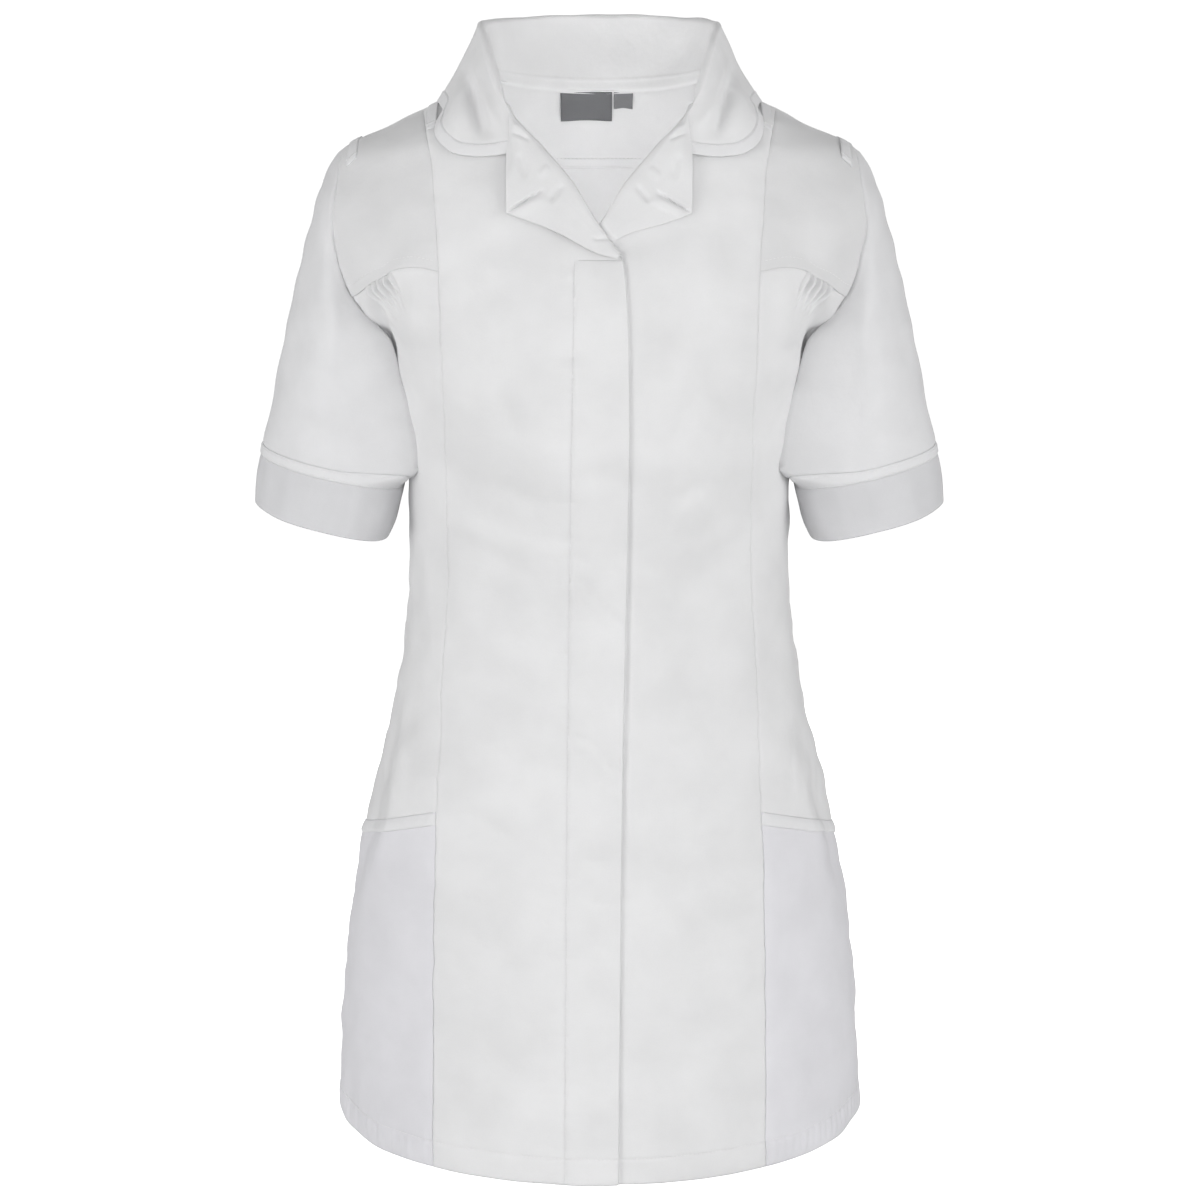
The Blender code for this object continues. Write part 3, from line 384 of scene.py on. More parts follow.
def cloth_piece(name, points, inside=None, ply=PLY, closed=False):
    """One piece of cloth from rows of points, with its thread directions kept for the weave."""
    if inside is None:
        inside = points * [0, 0, 1]
    middle = len(points) // 2
    normal = np.cross(points[middle, 1:] - points[middle, :-1], points[middle + 1, :-1] - points[middle, :-1])
    if np.sum(normal * (points - inside)[middle, :-1]) < 0:
        points = points[:, ::-1]
    rows, columns = points.shape[:2]
    index = np.arange(rows * columns).reshape(rows, columns)
    if closed:
        index = np.hstack([index, index[:, :1]])
    quads = np.stack([index[:-1, :-1], index[:-1, 1:], index[1:, 1:], index[1:, :-1]], -1).reshape(-1, 4)
    mesh = bpy.data.meshes.new(name)
    mesh.from_pydata(points.reshape(-1, 3).tolist(), [], quads.tolist())
    mesh.shade_smooth()
    weft = np.pad(np.cumsum(np.linalg.norm(np.diff(points, axis=1), axis=2), axis=1), ((0, 0), (1, 0)))
    warp = np.pad(np.cumsum(np.linalg.norm(np.diff(points, axis=0), axis=2), axis=0), ((1, 0), (0, 0)))
    weft = weft - weft[:, columns // 2:columns // 2 + 1]
    threads = mesh.attributes.new("threads", "FLOAT_VECTOR", "POINT")
    threads.data.foreach_set("vector", np.stack([weft, warp, 0 * warp], -1).ravel())
    piece = bpy.data.objects.new(name, mesh)
    bpy.context.scene.collection.objects.link(piece)
    wall = piece.modifiers.new("ply", "SOLIDIFY")
    wall.thickness = ply
    wall.offset = 0.0
    return piece


class Amount:
    """A number in a finish; sums and products of it add their Math nodes."""

    def __init__(self, finish, socket):
        self.finish, self.socket = finish, socket

    def math(self, operation, *amounts):
        node = self.finish.node("ShaderNodeMath", {"operation": operation}, dict(enumerate(amounts)))
        return Amount(self.finish, node.outputs[0])

    def sine(self):
        return self.math("SINE", self)

    def __add__(self, other):
        return self.math("ADD", self, other)

    def __mul__(self, other):
        return self.math("MULTIPLY", self, other)


class Finish:
    """A material under its own name, with its Principled shader."""

    def __init__(self, name):
        self.material = bpy.data.materials.new(name)
        self.material.use_nodes = True
        self.tree = self.material.node_tree
        self.shader = self.tree.nodes["Principled BSDF"]

    def put(self, node, inputs):
        """Give a node's sockets their numbers, colours or links."""
        for key, value in inputs.items():
            if isinstance(value, Amount):
                value = value.socket
            if isinstance(value, bpy.types.NodeSocket):
                self.tree.links.new(value, node.inputs[key])
            else:
                node.inputs[key].default_value = value

    def node(self, kind, settings, inputs):
        node = self.tree.nodes.new(kind)
        for key, value in settings.items():
            setattr(node, key, value)
        self.put(node, inputs)
        return node

    def noise(self, scale, detail, **inputs):
        """Soft random amount from 0 to 1."""
        noise = self.node("ShaderNodeTexNoise", {}, {"Scale": scale, "Detail": detail, **inputs})
        return Amount(self, noise.outputs[0])

    def tint(self, amount, low, low_colour, high, high_colour):
        """Colour that goes from one to the other as the amount rises between two values."""
        ramp = self.node("ShaderNodeValToRGB", {}, {"Fac": amount})
        for stop, place, colour in zip(ramp.color_ramp.elements, (low, high), (low_colour, high_colour)):
            stop.position, stop.color = place, (*colour, 1.0)
        return ramp


def woven_finish(name, colour, shade=0.93, weave_pitch=0.00045, weave_height=0.00003, roughness=0.85):
    """Plain weave: crossing threads, a few thicker ones, faint clouding and small dents."""
    finish = Finish(name)
    threads = finish.node("ShaderNodeAttribute", {"attribute_name": "threads"}, {}).outputs["Vector"]
    place = finish.node("ShaderNodeTexCoord", {}, {}).outputs["Object"]
    split = finish.node("ShaderNodeSeparateXYZ", {}, {"Vector": threads})
    weft, warp = Amount(finish, split.outputs[0]), Amount(finish, split.outputs[1])
    turn = 2 * math.pi / weave_pitch
    weave = (weft * turn).sine() * (warp * turn).sine()
    slub = finish.noise(900.0, 2.0, Vector=threads)
    dents = finish.noise(75.0, 3.0, Vector=place, Roughness=0.45)
    cloud = finish.noise(22.0, 3.0, Vector=place)
    tint = finish.tint(cloud * 0.8 + slub * 0.2, 0.35, [c * shade for c in colour], 0.65, colour)
    fine = finish.node("ShaderNodeBump", {}, {"Strength": 0.35, "Distance": weave_height,
                                              "Height": weave * 0.7 + slub * 0.6})
    dented = finish.node("ShaderNodeBump", {}, {"Strength": 0.5, "Distance": 0.0011, "Height": dents,
                                                "Normal": fine.outputs[0]})
    finish.put(finish.shader, {
        "Base Color": tint.outputs[0], "Roughness": cloud * 0.08 + (roughness - 0.04),
        "Normal": dented.outputs[0], "Sheen Weight": 0.2, "Sheen Roughness": 0.5,
        "Specular IOR Level": 0.25})
    return finish.material


def hand_over(piece, cloth, node):
    """The piece in its cloth stands for its node."""
    piece.data.materials.append(cloth)
    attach(piece, "root")
    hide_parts(node)


white_cloth = woven_finish("white_polycotton", CLOTH_WHITE)
front_up, front_row = rows_up(princess, 0, len(PRINCESS) - 1)
outer_line, sewn_line, edge_line = princess(front_row), fly_line(front_row), front_edge(front_row)
outer_width, from_princess, outer_patch = panel(outer_line, sewn_line)
past_fly_line, inner_patch = panel(sewn_line, edge_line, lines=(0.0,))[1:]
front_patch = np.concatenate([outer_patch, inner_patch[:, 1:]], axis=1)
princess_distance = np.concatenate([from_princess, outer_width + past_fly_line[:, 1:]], axis=1)
fly_distance = princess_distance - outer_width
front_height = front_up[:, None]
front_sewing = (seam_roll(princess_distance) + pucker(front_height, princess_distance)
                + hem_relief(front_height, round_form(front_patch)) + turn_up(front_height))


def fly_relief(up, distance, row):
    """Dip and puckers along the fly's stitching, up to the break."""
    sewn = -0.0005 * near_line(distance, 0.0015) + pucker(up, distance, 0.0006, 0.007)
    return sewn * (1 - ease((row - BREAK_ROW) * 2.0))


right_lift = front_sewing + fly_relief(front_height, fly_distance, front_row[:, None])
right_front = cloth_piece("right_front", lay_panel(front_patch, right_lift, -1))
right_edge_at = smooth_curve(FRONT_EDGE[:, 0], -FRONT_EDGE[:, 1])
front_out = form_point(front_patch[..., 0], front_patch[..., 1])[..., 0]
beyond_edge = front_out - right_edge_at(front_patch[..., 1])
left_drop = -UNDERLAP * ease((UNDERLAP_REACH - beyond_edge) / UNDERLAP_SLOPE)
left_front = cloth_piece("left_front", lay_panel(front_patch, front_sewing + left_drop))

# Fly: the right front's edge is folded into a strip 38 mm wide that hides the fastening. It is
# stitched down its inner side from the break to the hem, and its front edge is a pressed fold.
FLY_LIFT, FLY_SEWN_LIFT, FOLD_UNDER = 0.0008, 0.0003, 0.0068
STITCH_LIFT = 0.0001
THREAD_WHITE = (0.82, 0.82, 0.825)

fly_up, fly_row = rows_up(princess, 0, BREAK_ROW)
strip_sewn, strip_edge = fly_line(fly_row), front_edge(fly_row)
strip_width, past_stitches, strip_patch = panel(strip_sewn, strip_edge)
under = np.array([0.0004, 0.0010, 0.0020, 0.0040, FOLD_UNDER])
under_patch = between(strip_edge, strip_sewn, under / strip_width)
strip_height = fly_up[:, None]
outside_lift = (FLY_SEWN_LIFT + (FLY_LIFT - FLY_SEWN_LIFT) * ease(past_stitches / 0.007)
                + fly_relief(strip_height, past_stitches, fly_row[:, None]))
under_lift = outside_lift[:, -1:] - 2 * FLY_LIFT * ease(under / 0.0012)
strip_lift = np.concatenate([outside_lift, under_lift], axis=1)
strip_patch = np.concatenate([strip_patch, under_patch], axis=1)
top_distance = fly_up[-1] - strip_height
strip_lift += (hem_relief(strip_height, round_form(strip_patch)) + turn_up(strip_height)
               - 0.0005 * near_line(top_distance, 0.0012))
fly_strip = cloth_piece("fly_strip", lay_panel(strip_patch, strip_lift, -1))


def thread_finish(name, colour):
    """Spun polyester thread, twisted, a little glossier than the cloth."""
    finish = Finish(name)
    place = finish.node("ShaderNodeTexCoord", {}, {}).outputs["Object"]
    twist = finish.noise(1400.0, 2.0, Vector=place)
    tint = finish.tint(twist, 0.3, [c * 0.92 for c in colour], 0.7, colour)
    bump = finish.node("ShaderNodeBump", {}, {"Strength": 0.4, "Distance": 0.00005, "Height": twist})
    finish.put(finish.shader, {"Base Color": tint.outputs[0], "Roughness": twist * 0.1 + 0.5,
                               "Normal": bump.outputs[0], "Sheen Weight": 0.1})
    return finish.material


white_thread = thread_finish("white_thread", THREAD_WHITE)


def stitching(name, lines, pitch=0.0029, length=0.0022, radius=0.00022):
    """Lockstitches along lines of points with outward directions: short threads that dip at each end."""
    turns = np.linspace(0, 2 * math.pi, 6, endpoint=False)
    shares, girths = np.array([-0.5, -0.36, 0.36, 0.5]), np.array([0.35, 1.0, 1.0, 0.35])
    drops = np.array([-0.9, 0.35, 0.35, -0.9]) * radius
    places = []
    for path, outward in lines:
        gone = line_length(path)
        middles = np.arange(pitch / 2, gone[-1], pitch)
        at, out = along_line(middles, gone, path), along_line(middles, gone, outward)
        run = along_line(middles + pitch / 3, gone, path) - along_line(middles - pitch / 3, gone, path)
        run /= np.linalg.norm(run, axis=1, keepdims=True)
        out -= run * np.sum(out * run, axis=1, keepdims=True)
        out /= np.linalg.norm(out, axis=1, keepdims=True)
        side = np.cross(out, run)
        girth = side[:, None, None] * np.cos(turns)[:, None] + out[:, None, None] * np.sin(turns)[:, None]
        middle = at[:, None] + run[:, None] * (shares * length)[:, None] + out[:, None] * drops[:, None]
        ring = girth * (radius * girths)[:, None, None] + middle[:, :, None]
        places.append(ring.reshape(-1, 3))
    points = np.concatenate(places)
    count = len(points) // 24
    quad = [[r * 6 + t, r * 6 + (t + 1) % 6, (r + 1) * 6 + (t + 1) % 6, (r + 1) * 6 + t]
            for r in range(3) for t in range(6)]
    faces = [[v + 24 * i for v in face] for i in range(count)
             for face in quad + [[5, 4, 3, 2, 1, 0], [18, 19, 20, 21, 22, 23]]]
    mesh = bpy.data.meshes.new(name)
    mesh.from_pydata(points.tolist(), [], faces)
    mesh.shade_smooth()
    mesh.materials.append(white_thread)
    sewn = bpy.data.objects.new(name, mesh)
    bpy.context.scene.collection.objects.link(sewn)
    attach(sewn, "root")
    return sewn


def sewn_on(line, lift, side=1):
    """A line of sewing on the body's cloth: its points and their outward directions."""
    return lay_panel(line, lift, side), form_normal(side * line[:, 0], line[:, 1])


stitch_rows = np.linspace(0.05, BREAK_ROW - 0.05, 1200)
fly_sewing = fly_line(stitch_rows)
fly_up_at = row_at(stitch_rows, fly_row, fly_up)
fly_lift = FLY_SEWN_LIFT + fly_relief(fly_up_at, 0.0 * fly_up_at, stitch_rows) + PLY / 2
fly_stitches = stitching("fly_stitches", [sewn_on(fly_sewing, fly_lift, -1)])
hem_row = np.array([row_at(HEM_DEPTH, front_up, front_row)])
hem_outer, hem_fly, hem_edge = princess(hem_row), fly_line(hem_row), front_edge(hem_row)
hem_share = np.linspace(0.01, 0.99, 300)
front_hem = between(hem_outer, hem_fly, hem_share[None])[0]
fly_hem = between(hem_fly, hem_edge, hem_share[None])[0]
fly_hem_stitches = stitching("fly_hem_stitches", [sewn_on(fly_hem, FLY_LIFT + STITCH_LIFT, -1)])
for front, (name, side) in zip((right_front, left_front), SIDES):
    sewn = stitching(name + "_hem_stitches", [sewn_on(front_hem, STITCH_LIFT, side)])
    hand_over(front, white_cloth, "front_" + name)
hand_over(fly_strip, white_cloth, "placket")

# Side fronts: from the hem to a curved seam over the bust, where each is gathered into its shoulder
# piece near the armhole; the shoulder piece runs on to the shoulder seam. The same cloth throughout.
SIDE_Z = np.array([-0.7645, -0.7455, -0.700, -0.650, -0.605, -0.5575, -0.5485, -0.482, -0.422, -0.370,
                   -0.324, -0.286, -0.254, -0.228, -0.206])
UNDERARM_ROW = len(SIDE_Z) - 1
SIDE_ANGLE, SIDE_SETTLES_IN, UNDERARM_Z, SHOULDER_TIP_Z = 94.0, 0.060, -0.206, -0.048
ARMHOLE_FRONT_REACH, ARMHOLE_BACK_REACH = 0.056, 0.062
GATHER_SEAM_TURN, YOKE_SEAM_TURN = 105.4, 48.0        # where these seams meet the armhole
LOWER_FRONT_TURNS = [180.0, 165.0, 150.0, 135.0, 120.0, GATHER_SEAM_TURN]     # down from the tip
UPPER_FRONT_TURNS = [GATHER_SEAM_TURN, 93.0, 80.0, 67.0, 53.0, 39.0, 26.0, 13.0, 0.0]
SHOULDER_PIECE_SEAM = np.array([(-0.1243, 0.1103), (-0.1223, 0.1255), (-0.1237, 0.1361), (-0.1262, 0.1432),
                                (-0.1300, 0.1480), (-0.1345, 0.1562), (-0.1440, 0.1668)])
SHOULDER_SHADED_WHITE = (0.745, 0.745, 0.75)       # the same cloth, coloured darker: painted shade on a piece that faces up
GATHER_ROWS, GATHER_COLUMNS = np.arange(0.0010, 0.0300, 0.0010), np.arange(0.290, 0.790, 0.0075)
GATHERS_FROM, GATHER_WIDTH, GATHERS, GATHER_DEPTH, GATHER_LEAN = 0.42, 0.066, 5, 0.0045, 6.0
POCKET_MOUTH_UP = 0.245      # height of the pocket's mouth up the side front
SHOULDER_STITCHED = 0.0068   # distance of the topstitching above the seam


def armhole(turn, is_front):
    """Angle and height on the armhole seam, turn degrees down from the shoulder tip."""
    turn = np.radians(turn)
    z = (SHOULDER_TIP_Z + UNDERARM_Z) / 2 + (SHOULDER_TIP_Z - UNDERARM_Z) / 2 * np.cos(turn)
    reach = np.where(is_front, ARMHOLE_FRONT_REACH, ARMHOLE_BACK_REACH) * np.sin(turn)
    full = np.where(is_front, body_front(z), body_back(z))
    angle = np.degrees(np.arccos(np.minimum(np.abs(reach) / full, 1.0) ** (body_square(z) / 2)))
    return np.stack([np.where(is_front, angle, 180.0 - angle), z], -1)


side_seam_z = smooth_curve(np.arange(len(SIDE_Z)), SIDE_Z)


def side_edge(row, turns, is_front):
    """Edge of a side panel: up the side seam, then round the armhole."""
    z = side_seam_z(row)
    settled = np.minimum((UNDERARM_Z - z) / SIDE_SETTLES_IN, 1.0)
    seam = np.stack([90.0 + (SIDE_ANGLE - 90.0) * settled, z], -1)
    turn = np.interp(row, UNDERARM_ROW + np.arange(len(turns)), turns)
    return np.where((row <= UNDERARM_ROW)[:, None], seam, armhole(turn, is_front))


def front_side_edge(row):
    """Side edge of the lower side front."""
    return side_edge(row, LOWER_FRONT_TURNS, True)


seam_steps = np.linspace(0, len(SHOULDER_PIECE_SEAM) - 1, 200)
seam_z, seam_out = (smooth_curve(np.arange(len(SHOULDER_PIECE_SEAM)), SHOULDER_PIECE_SEAM[:, i])(seam_steps)
                    for i in (0, 1))
shoulder_seam = np.vstack([
    np.stack([angle_at_out(seam_out, seam_z), seam_z], -1), armhole(GATHER_SEAM_TURN, True)])
shoulder_seam_share = line_length(form_point(shoulder_seam[:, 0], shoulder_seam[:, 1]))
shoulder_seam_share /= shoulder_seam_share[-1]


def on_shoulder_seam(share):
    """Angle and height along the gathered seam, from the princess seam to the armhole."""
    return along_line(share, shoulder_seam_share, shoulder_seam)


def bend_to(patch, shares, edge, end_row, weight):
    """Bend a panel's rows towards a curved edge, the most at that end."""
    flat = patch[end_row, :1] + (patch[end_row, -1:] - patch[end_row, :1]) * shares[end_row][:, None]
    return patch + (edge(shares[end_row]) - flat)[None] * weight[:, None, None]


def topstitched(distance, allowance, line, reach):
    """Seam allowance under the cloth beside a seam, drawn in where it is topstitched."""
    return 0.0003 * (1 - ease((distance - allowance) / 0.003)) - 0.0004 * near_line(distance - line, reach)


def gathers(below_seam, share):
    """Small pleats drawn up under the shoulder piece, dying out down the bust."""
    place = (share + GATHER_LEAN * below_seam - GATHERS_FROM) / GATHER_WIDTH
    inside = ease(place / 0.4) * ease((GATHERS - place) / 0.4)
    crest = 0.325 - 0.675 * np.cos(2 * math.pi * place + 0.5 * np.sin(place * 2.1))
    fade = np.exp(-(np.maximum(below_seam - 0.005, 0) / 0.011) ** 1.4)
    return GATHER_DEPTH * inside * crest * (0.45 + 0.55 * ease(below_seam / 0.006)) * fade


side_up, side_row = rows_up(princess, 0, BREAK_ROW)
gathered_up = add_between(side_up, side_up[-1] - GATHER_ROWS, 0.0004)
side_row, side_up = np.interp(gathered_up, side_up, side_row), gathered_up
side_start, side_end = princess(side_row), front_side_edge(side_row)
mean_width = row_width(side_start, side_end).mean()
side_columns = add_between(spread(mean_width, COLUMN_STEP, (0.0, mean_width)),
                           GATHER_COLUMNS * mean_width, 0.0003)
side_width, from_seam, side_patch = panel(side_start, side_end, columns=side_columns)
side_share = from_seam / side_width
side_patch = bend_to(side_patch, side_share, on_shoulder_seam, -1, (side_row / BREAK_ROW) ** 3)
side_height = side_up[:, None]
below_shoulder_seam = side_up[-1] - side_height
to_side = side_width - from_seam
side_sewing = (seam_roll(from_seam) + seam_roll(to_side) + seam_roll(below_shoulder_seam)
               + pucker(side_height, from_seam) + pucker(side_height + 0.3, to_side))
behind_pocket = (-0.0008 * ease((POCKET_MOUTH_UP - 0.025 - np.abs(side_height)) / 0.02)
                 - 0.0012 * (1 - ease((np.abs(side_height) - HEM_DEPTH) / 0.02)))
side_lift = (side_sewing + gathers(below_shoulder_seam, side_share) + turn_up(side_height) + behind_pocket
             + hem_relief(side_height, 0.0, height=0.0))

top_up, top_row = rows_up(princess, BREAK_ROW, len(PRINCESS) - 1, hemmed=False)
top_turn = np.interp(top_row, BREAK_ROW + np.arange(len(UPPER_FRONT_TURNS)), UPPER_FRONT_TURNS)
top_start, top_end = princess(top_row), armhole(top_turn, True)
top_width, from_princess_top, top_patch = panel(top_start, top_end)
top_share = from_princess_top / top_width
top_patch = bend_to(top_patch, top_share, on_shoulder_seam, 0,
                    (1 - (top_row - BREAK_ROW) / (len(PRINCESS) - 1 - BREAK_ROW)) ** 3)
above_seam = top_up[:, None]
top_lift = (seam_roll(from_princess_top) + seam_roll(top_width - from_princess_top)
            + pucker(above_seam + 0.65, from_princess_top) + seam_roll(top_up[-1] - above_seam)
            + topstitched(above_seam, 0.0075, SHOULDER_STITCHED, 0.0013)
            + pucker(round_form(top_patch, 0.2), above_seam - 0.004, 0.0003, 0.006))
shoulder_shaded_cloth = woven_finish("shoulder_shaded_polycotton", SHOULDER_SHADED_WHITE)

for name, side in SIDES:
    lower = cloth_piece(name + "_side_front", lay_panel(side_patch, side_lift, side))
    upper = cloth_piece(name + "_shoulder_piece", lay_panel(top_patch, top_lift, side))
    topstitch = on_shoulder_seam(np.linspace(0.02, 0.98, 300)) + [0.0, SHOULDER_STITCHED]
    sewn = stitching(name + "_shoulder_stitches", [sewn_on(topstitch, 0.0003, side)])
    hand_over(lower, white_cloth, "side_front_" + name)
    hand_over(upper, shoulder_shaded_cloth, "shoulder_front_" + name)

# Hip pockets: patches over the whole width of the side fronts, caught in both seams and in the hem.
# Each mouth is bound with a folded band of the same cloth 9 mm wide, sewn along its lower edge.
POCKET_TRIM_ROW = 5        # row of the band's lower edge; the next one is the mouth
POCKET_LIFT, BAND_LIFT, MOUTH_STAND = 0.0008, 0.0008, 0.0003
TRIM, TRIM_STITCHED = 0.0092, 0.0016        # width of a band, and its sewing's distance from the edge
POCKET_COLUMN_STEP, HEM_RIBS, RIBS_CLOSE = 0.0018, 0.0011, 1.5
RIBS_TO_TURN, RIBS_FADE = 66.0, 16.0        # the ribs of its hem die away towards the side seam
# The pockets' colour, a little darker and cooler than the body's cloth, is painted shade.
POCKET_SHADED_WHITE, TRIM_WHITE = (0.775, 0.77, 0.80), (0.795, 0.795, 0.805)

pocket_shaded_cloth = woven_finish("pocket_shaded_polycotton", POCKET_SHADED_WHITE)
trim_cloth = woven_finish("trim_polycotton", TRIM_WHITE, shade=0.95)
pocket_up, pocket_row = rows_up(princess, 0, POCKET_TRIM_ROW + 1)
pocket_start, pocket_end = princess(pocket_row), front_side_edge(pocket_row)
mean_width = row_width(pocket_start, pocket_end).mean()
pocket_columns = spread(mean_width, POCKET_COLUMN_STEP, (0.0, mean_width))
pocket_width, pocket_from_seam, pocket_patch = panel(pocket_start, pocket_end, columns=pocket_columns)
pocket_height = pocket_up[:, None]
below_mouth = pocket_up[-1] - pocket_height
nearer = np.minimum(pocket_from_seam, pocket_width - pocket_from_seam)
rib_height = HEM_RIBS * (1.0 - 0.85 * ease((pocket_patch[..., 0] - RIBS_TO_TURN) / RIBS_FADE))
above_hem = 0.35 + 0.65 * ease((np.abs(pocket_height) - 0.004) / HEM_DEPTH)
pocket_lift = (-0.0002 + POCKET_LIFT * above_hem * ease(nearer / 0.0075 + 0.15)
               + pucker(pocket_height, nearer, 0.0003)
               + MOUTH_STAND * ease(1 - below_mouth / 0.05) * ease(nearer / 0.03)
               + hem_relief(pocket_height, round_form(pocket_patch, 0.16), rib_height, RIBS_CLOSE)
               + turn_up(pocket_height) - 0.0003 * near_line(below_mouth - 0.0095, 0.0013))

band_up = np.array([0.0, 0.0005, 0.0011, 0.0022, 0.0045, 0.0068, 0.0082, 0.0088, 0.0092])
band_in = np.array([0.0006, 0.0012, 0.0025, 0.0045, 0.0070])
band_rows = row_at(np.concatenate([pocket_up[-1] - TRIM + band_up, pocket_up[-1] - band_in]),
                   pocket_up, pocket_row)
band_width, band_from_seam, band_patch = panel(princess(band_rows), front_side_edge(band_rows),
                                               columns=pocket_columns)
band_to_side = band_width - band_from_seam
band_nearer = np.minimum(band_from_seam, band_to_side)
band_rise = ease(np.minimum(band_from_seam / 0.0060, band_to_side / 0.0120) + 0.15)
folded_in = 0.0012 * ease((band_up - TRIM + 0.0040) / 0.0040)
band_out = np.concatenate([BAND_LIFT * ease(band_up / 0.0009) - folded_in,
                           np.full(len(band_in), -0.0009)])[:, None]
band_height = np.concatenate([band_up, TRIM - band_in])[:, None]
mouth_stand = MOUTH_STAND * ease(1 - (TRIM - band_height) / 0.05) * ease(band_nearer / 0.03)
band_lift = (-0.0002 + (POCKET_LIFT + 0.0004 + band_out) * band_rise + mouth_stand
             + pucker(round_form(band_patch, 0.2), band_height - 0.002, 0.00025, 0.006))
pocket_stitch_row = row_at(pocket_up[-1] - TRIM + TRIM_STITCHED, pocket_up, pocket_row)
hem_stitch_row = row_at(HEM_DEPTH, pocket_up, pocket_row)
across_pocket = np.linspace(0.01, 0.99, 300)


def across_side(row):
    """Angles and heights across the side front at one row."""
    row = np.array([row])
    return between(princess(row), front_side_edge(row), across_pocket[None])[0]


for name, side in SIDES:
    pocket = cloth_piece(name + "_pocket", lay_panel(pocket_patch, pocket_lift, side))
    band = cloth_piece(name + "_pocket_band", lay_panel(band_patch, band_lift, side))
    mouth, hem = across_side(pocket_stitch_row), across_side(hem_stitch_row)
    band_stitches = stitching(name + "_band_stitches", [
        sewn_on(mouth, POCKET_LIFT + BAND_LIFT + 0.0004, side)])
    pocket_stitches = stitching(name + "_pocket_hem_stitches", [sewn_on(hem, POCKET_LIFT - 0.0003, side)])
    hand_over(pocket, pocket_shaded_cloth, "hip_pocket_" + name)
    hand_over(band, trim_cloth, "pocket_trim_" + name)

# Back: one piece from hem to a straight seam across the shoulder blades, and a yoke above it that runs
# over to the shoulder seams and the back neck. The seam allowances show inside the open neck.
LOWER_BACK_TURNS = [180.0, 162.0, 144.0, 125.0, 106.0, 87.0, 67.0, YOKE_SEAM_TURN]
UPPER_BACK_TURNS = [YOKE_SEAM_TURN, 36.0, 24.0, 12.0, 0.0]
NAPE_Z, NECK_SHARE, NAPE_ROUND = -0.015, 0.4, 0.3
YOKE_STITCHED, YOKE_INSIDE = 0.0070, -0.0009          # its sewing's height over the seam, and depth inside


def back_edge(row):
    """Right edge of the back."""
    return side_edge(row, LOWER_BACK_TURNS, False)


back_up, back_row = rows_up(back_edge, 0, UNDERARM_ROW + len(LOWER_BACK_TURNS) - 1)
back_right = back_edge(back_row)
back_width, back_in, back_patch = panel(back_right, back_right * [-1, 1] + [360.0, 0])
back_height = back_up[:, None]
back_nearer = np.minimum(back_in, back_width - back_in)
below_yoke = back_up[-1] - back_height
back_lift = (seam_roll(back_nearer) + pucker(back_height, back_nearer) + seam_roll(below_yoke)
             + pucker(back_in, below_yoke, 0.0003, 0.006) + turn_up(back_height)
             + hem_relief(back_height, back_in))
back = cloth_piece("back", lay_panel(back_patch, back_lift))

shares = np.linspace(-1.0, 1.0, 241)
yoke_far = np.abs(shares)
shoulder_share = (1 - yoke_far) / (1 - NECK_SHARE)
neck_share = np.minimum(yoke_far / NECK_SHARE, 1.0)
on_neck = yoke_far < NECK_SHARE
top_angle = np.where(on_neck, 180.0 - 90.0 * neck_share, 90.0)
past_nape = ((np.sqrt(neck_share ** 2 + NAPE_ROUND ** 2) - NAPE_ROUND)
             / (math.sqrt(1 + NAPE_ROUND ** 2) - NAPE_ROUND))
top_z = np.where(on_neck, NAPE_Z * (1 - past_nape) ** 1.5, SHOULDER_TIP_Z * (1 - shoulder_share))
yoke_top = np.stack([180.0 + np.sign(shares) * (180.0 - top_angle), top_z], -1)


def on_yoke_top(share):
    """Angle and height along the yoke's top, over the shoulders and round the back neck."""
    return along_line(share, (shares + 1) / 2, yoke_top)


def yoke_edge(row):
    """Right edge of the yoke, up the armhole."""
    return armhole(np.interp(row, np.arange(len(UPPER_BACK_TURNS)), UPPER_BACK_TURNS), False)


yoke_rows = len(UPPER_BACK_TURNS) - 1
yoke_up, yoke_row = rows_up(yoke_edge, 0, yoke_rows, hemmed=False)
yoke_right = yoke_edge(yoke_row)
yoke_width, yoke_in, yoke_patch = panel(yoke_right, yoke_right * [-1, 1] + [360.0, 0],
                                        lines=(0.0, 0.5 - NECK_SHARE / 2, 0.5 + NECK_SHARE / 2, 1.0))
yoke_share = yoke_in / yoke_width
yoke_patch = bend_to(yoke_patch, yoke_share, on_yoke_top, -1, (yoke_row / yoke_rows) ** 3)
yoke_height = yoke_up[:, None]
yoke_nearer = np.minimum(yoke_in, yoke_width - yoke_in)
off_neck = ease((np.abs(yoke_share - 0.5) * 2 - NECK_SHARE) / 0.03)
yoke_lift = (seam_roll(yoke_nearer) + pucker(yoke_height, yoke_nearer)
             + off_neck * seam_roll(yoke_up[-1] - yoke_height)
             + seam_roll(yoke_height) + topstitched(yoke_height, 0.0085, 0.0075, 0.0014)
             + pucker(yoke_in, yoke_height - 0.004, 0.00035, 0.006))
yoke = cloth_piece("yoke", lay_panel(yoke_patch, yoke_lift))


def sewn_across(edge, height, lift):
    """A level line of sewing across the back, between its right edge and its left one."""
    return sewn_on(np.stack([np.linspace(edge + 0.5, 359.5 - edge, 700), np.full(700, height)], -1), lift)


hem_angle, hem_height = back_edge(np.array([row_at(HEM_DEPTH, back_up, back_row)]))[0]
back_stitches = stitching("back_hem_stitches", [sewn_across(hem_angle, hem_height, STITCH_LIFT)])
yoke_angle, yoke_foot = armhole(YOKE_SEAM_TURN, False)
inside_points, inside_out = sewn_across(yoke_angle, yoke_foot + YOKE_STITCHED, YOKE_INSIDE)
yoke_stitches = stitching("yoke_stitches", [
    sewn_across(yoke_angle, yoke_foot + YOKE_STITCHED, STITCH_LIFT), (inside_points, -inside_out)])
hand_over(back, white_cloth, "back_body")
hand_over(yoke, white_cloth, "back_yoke")
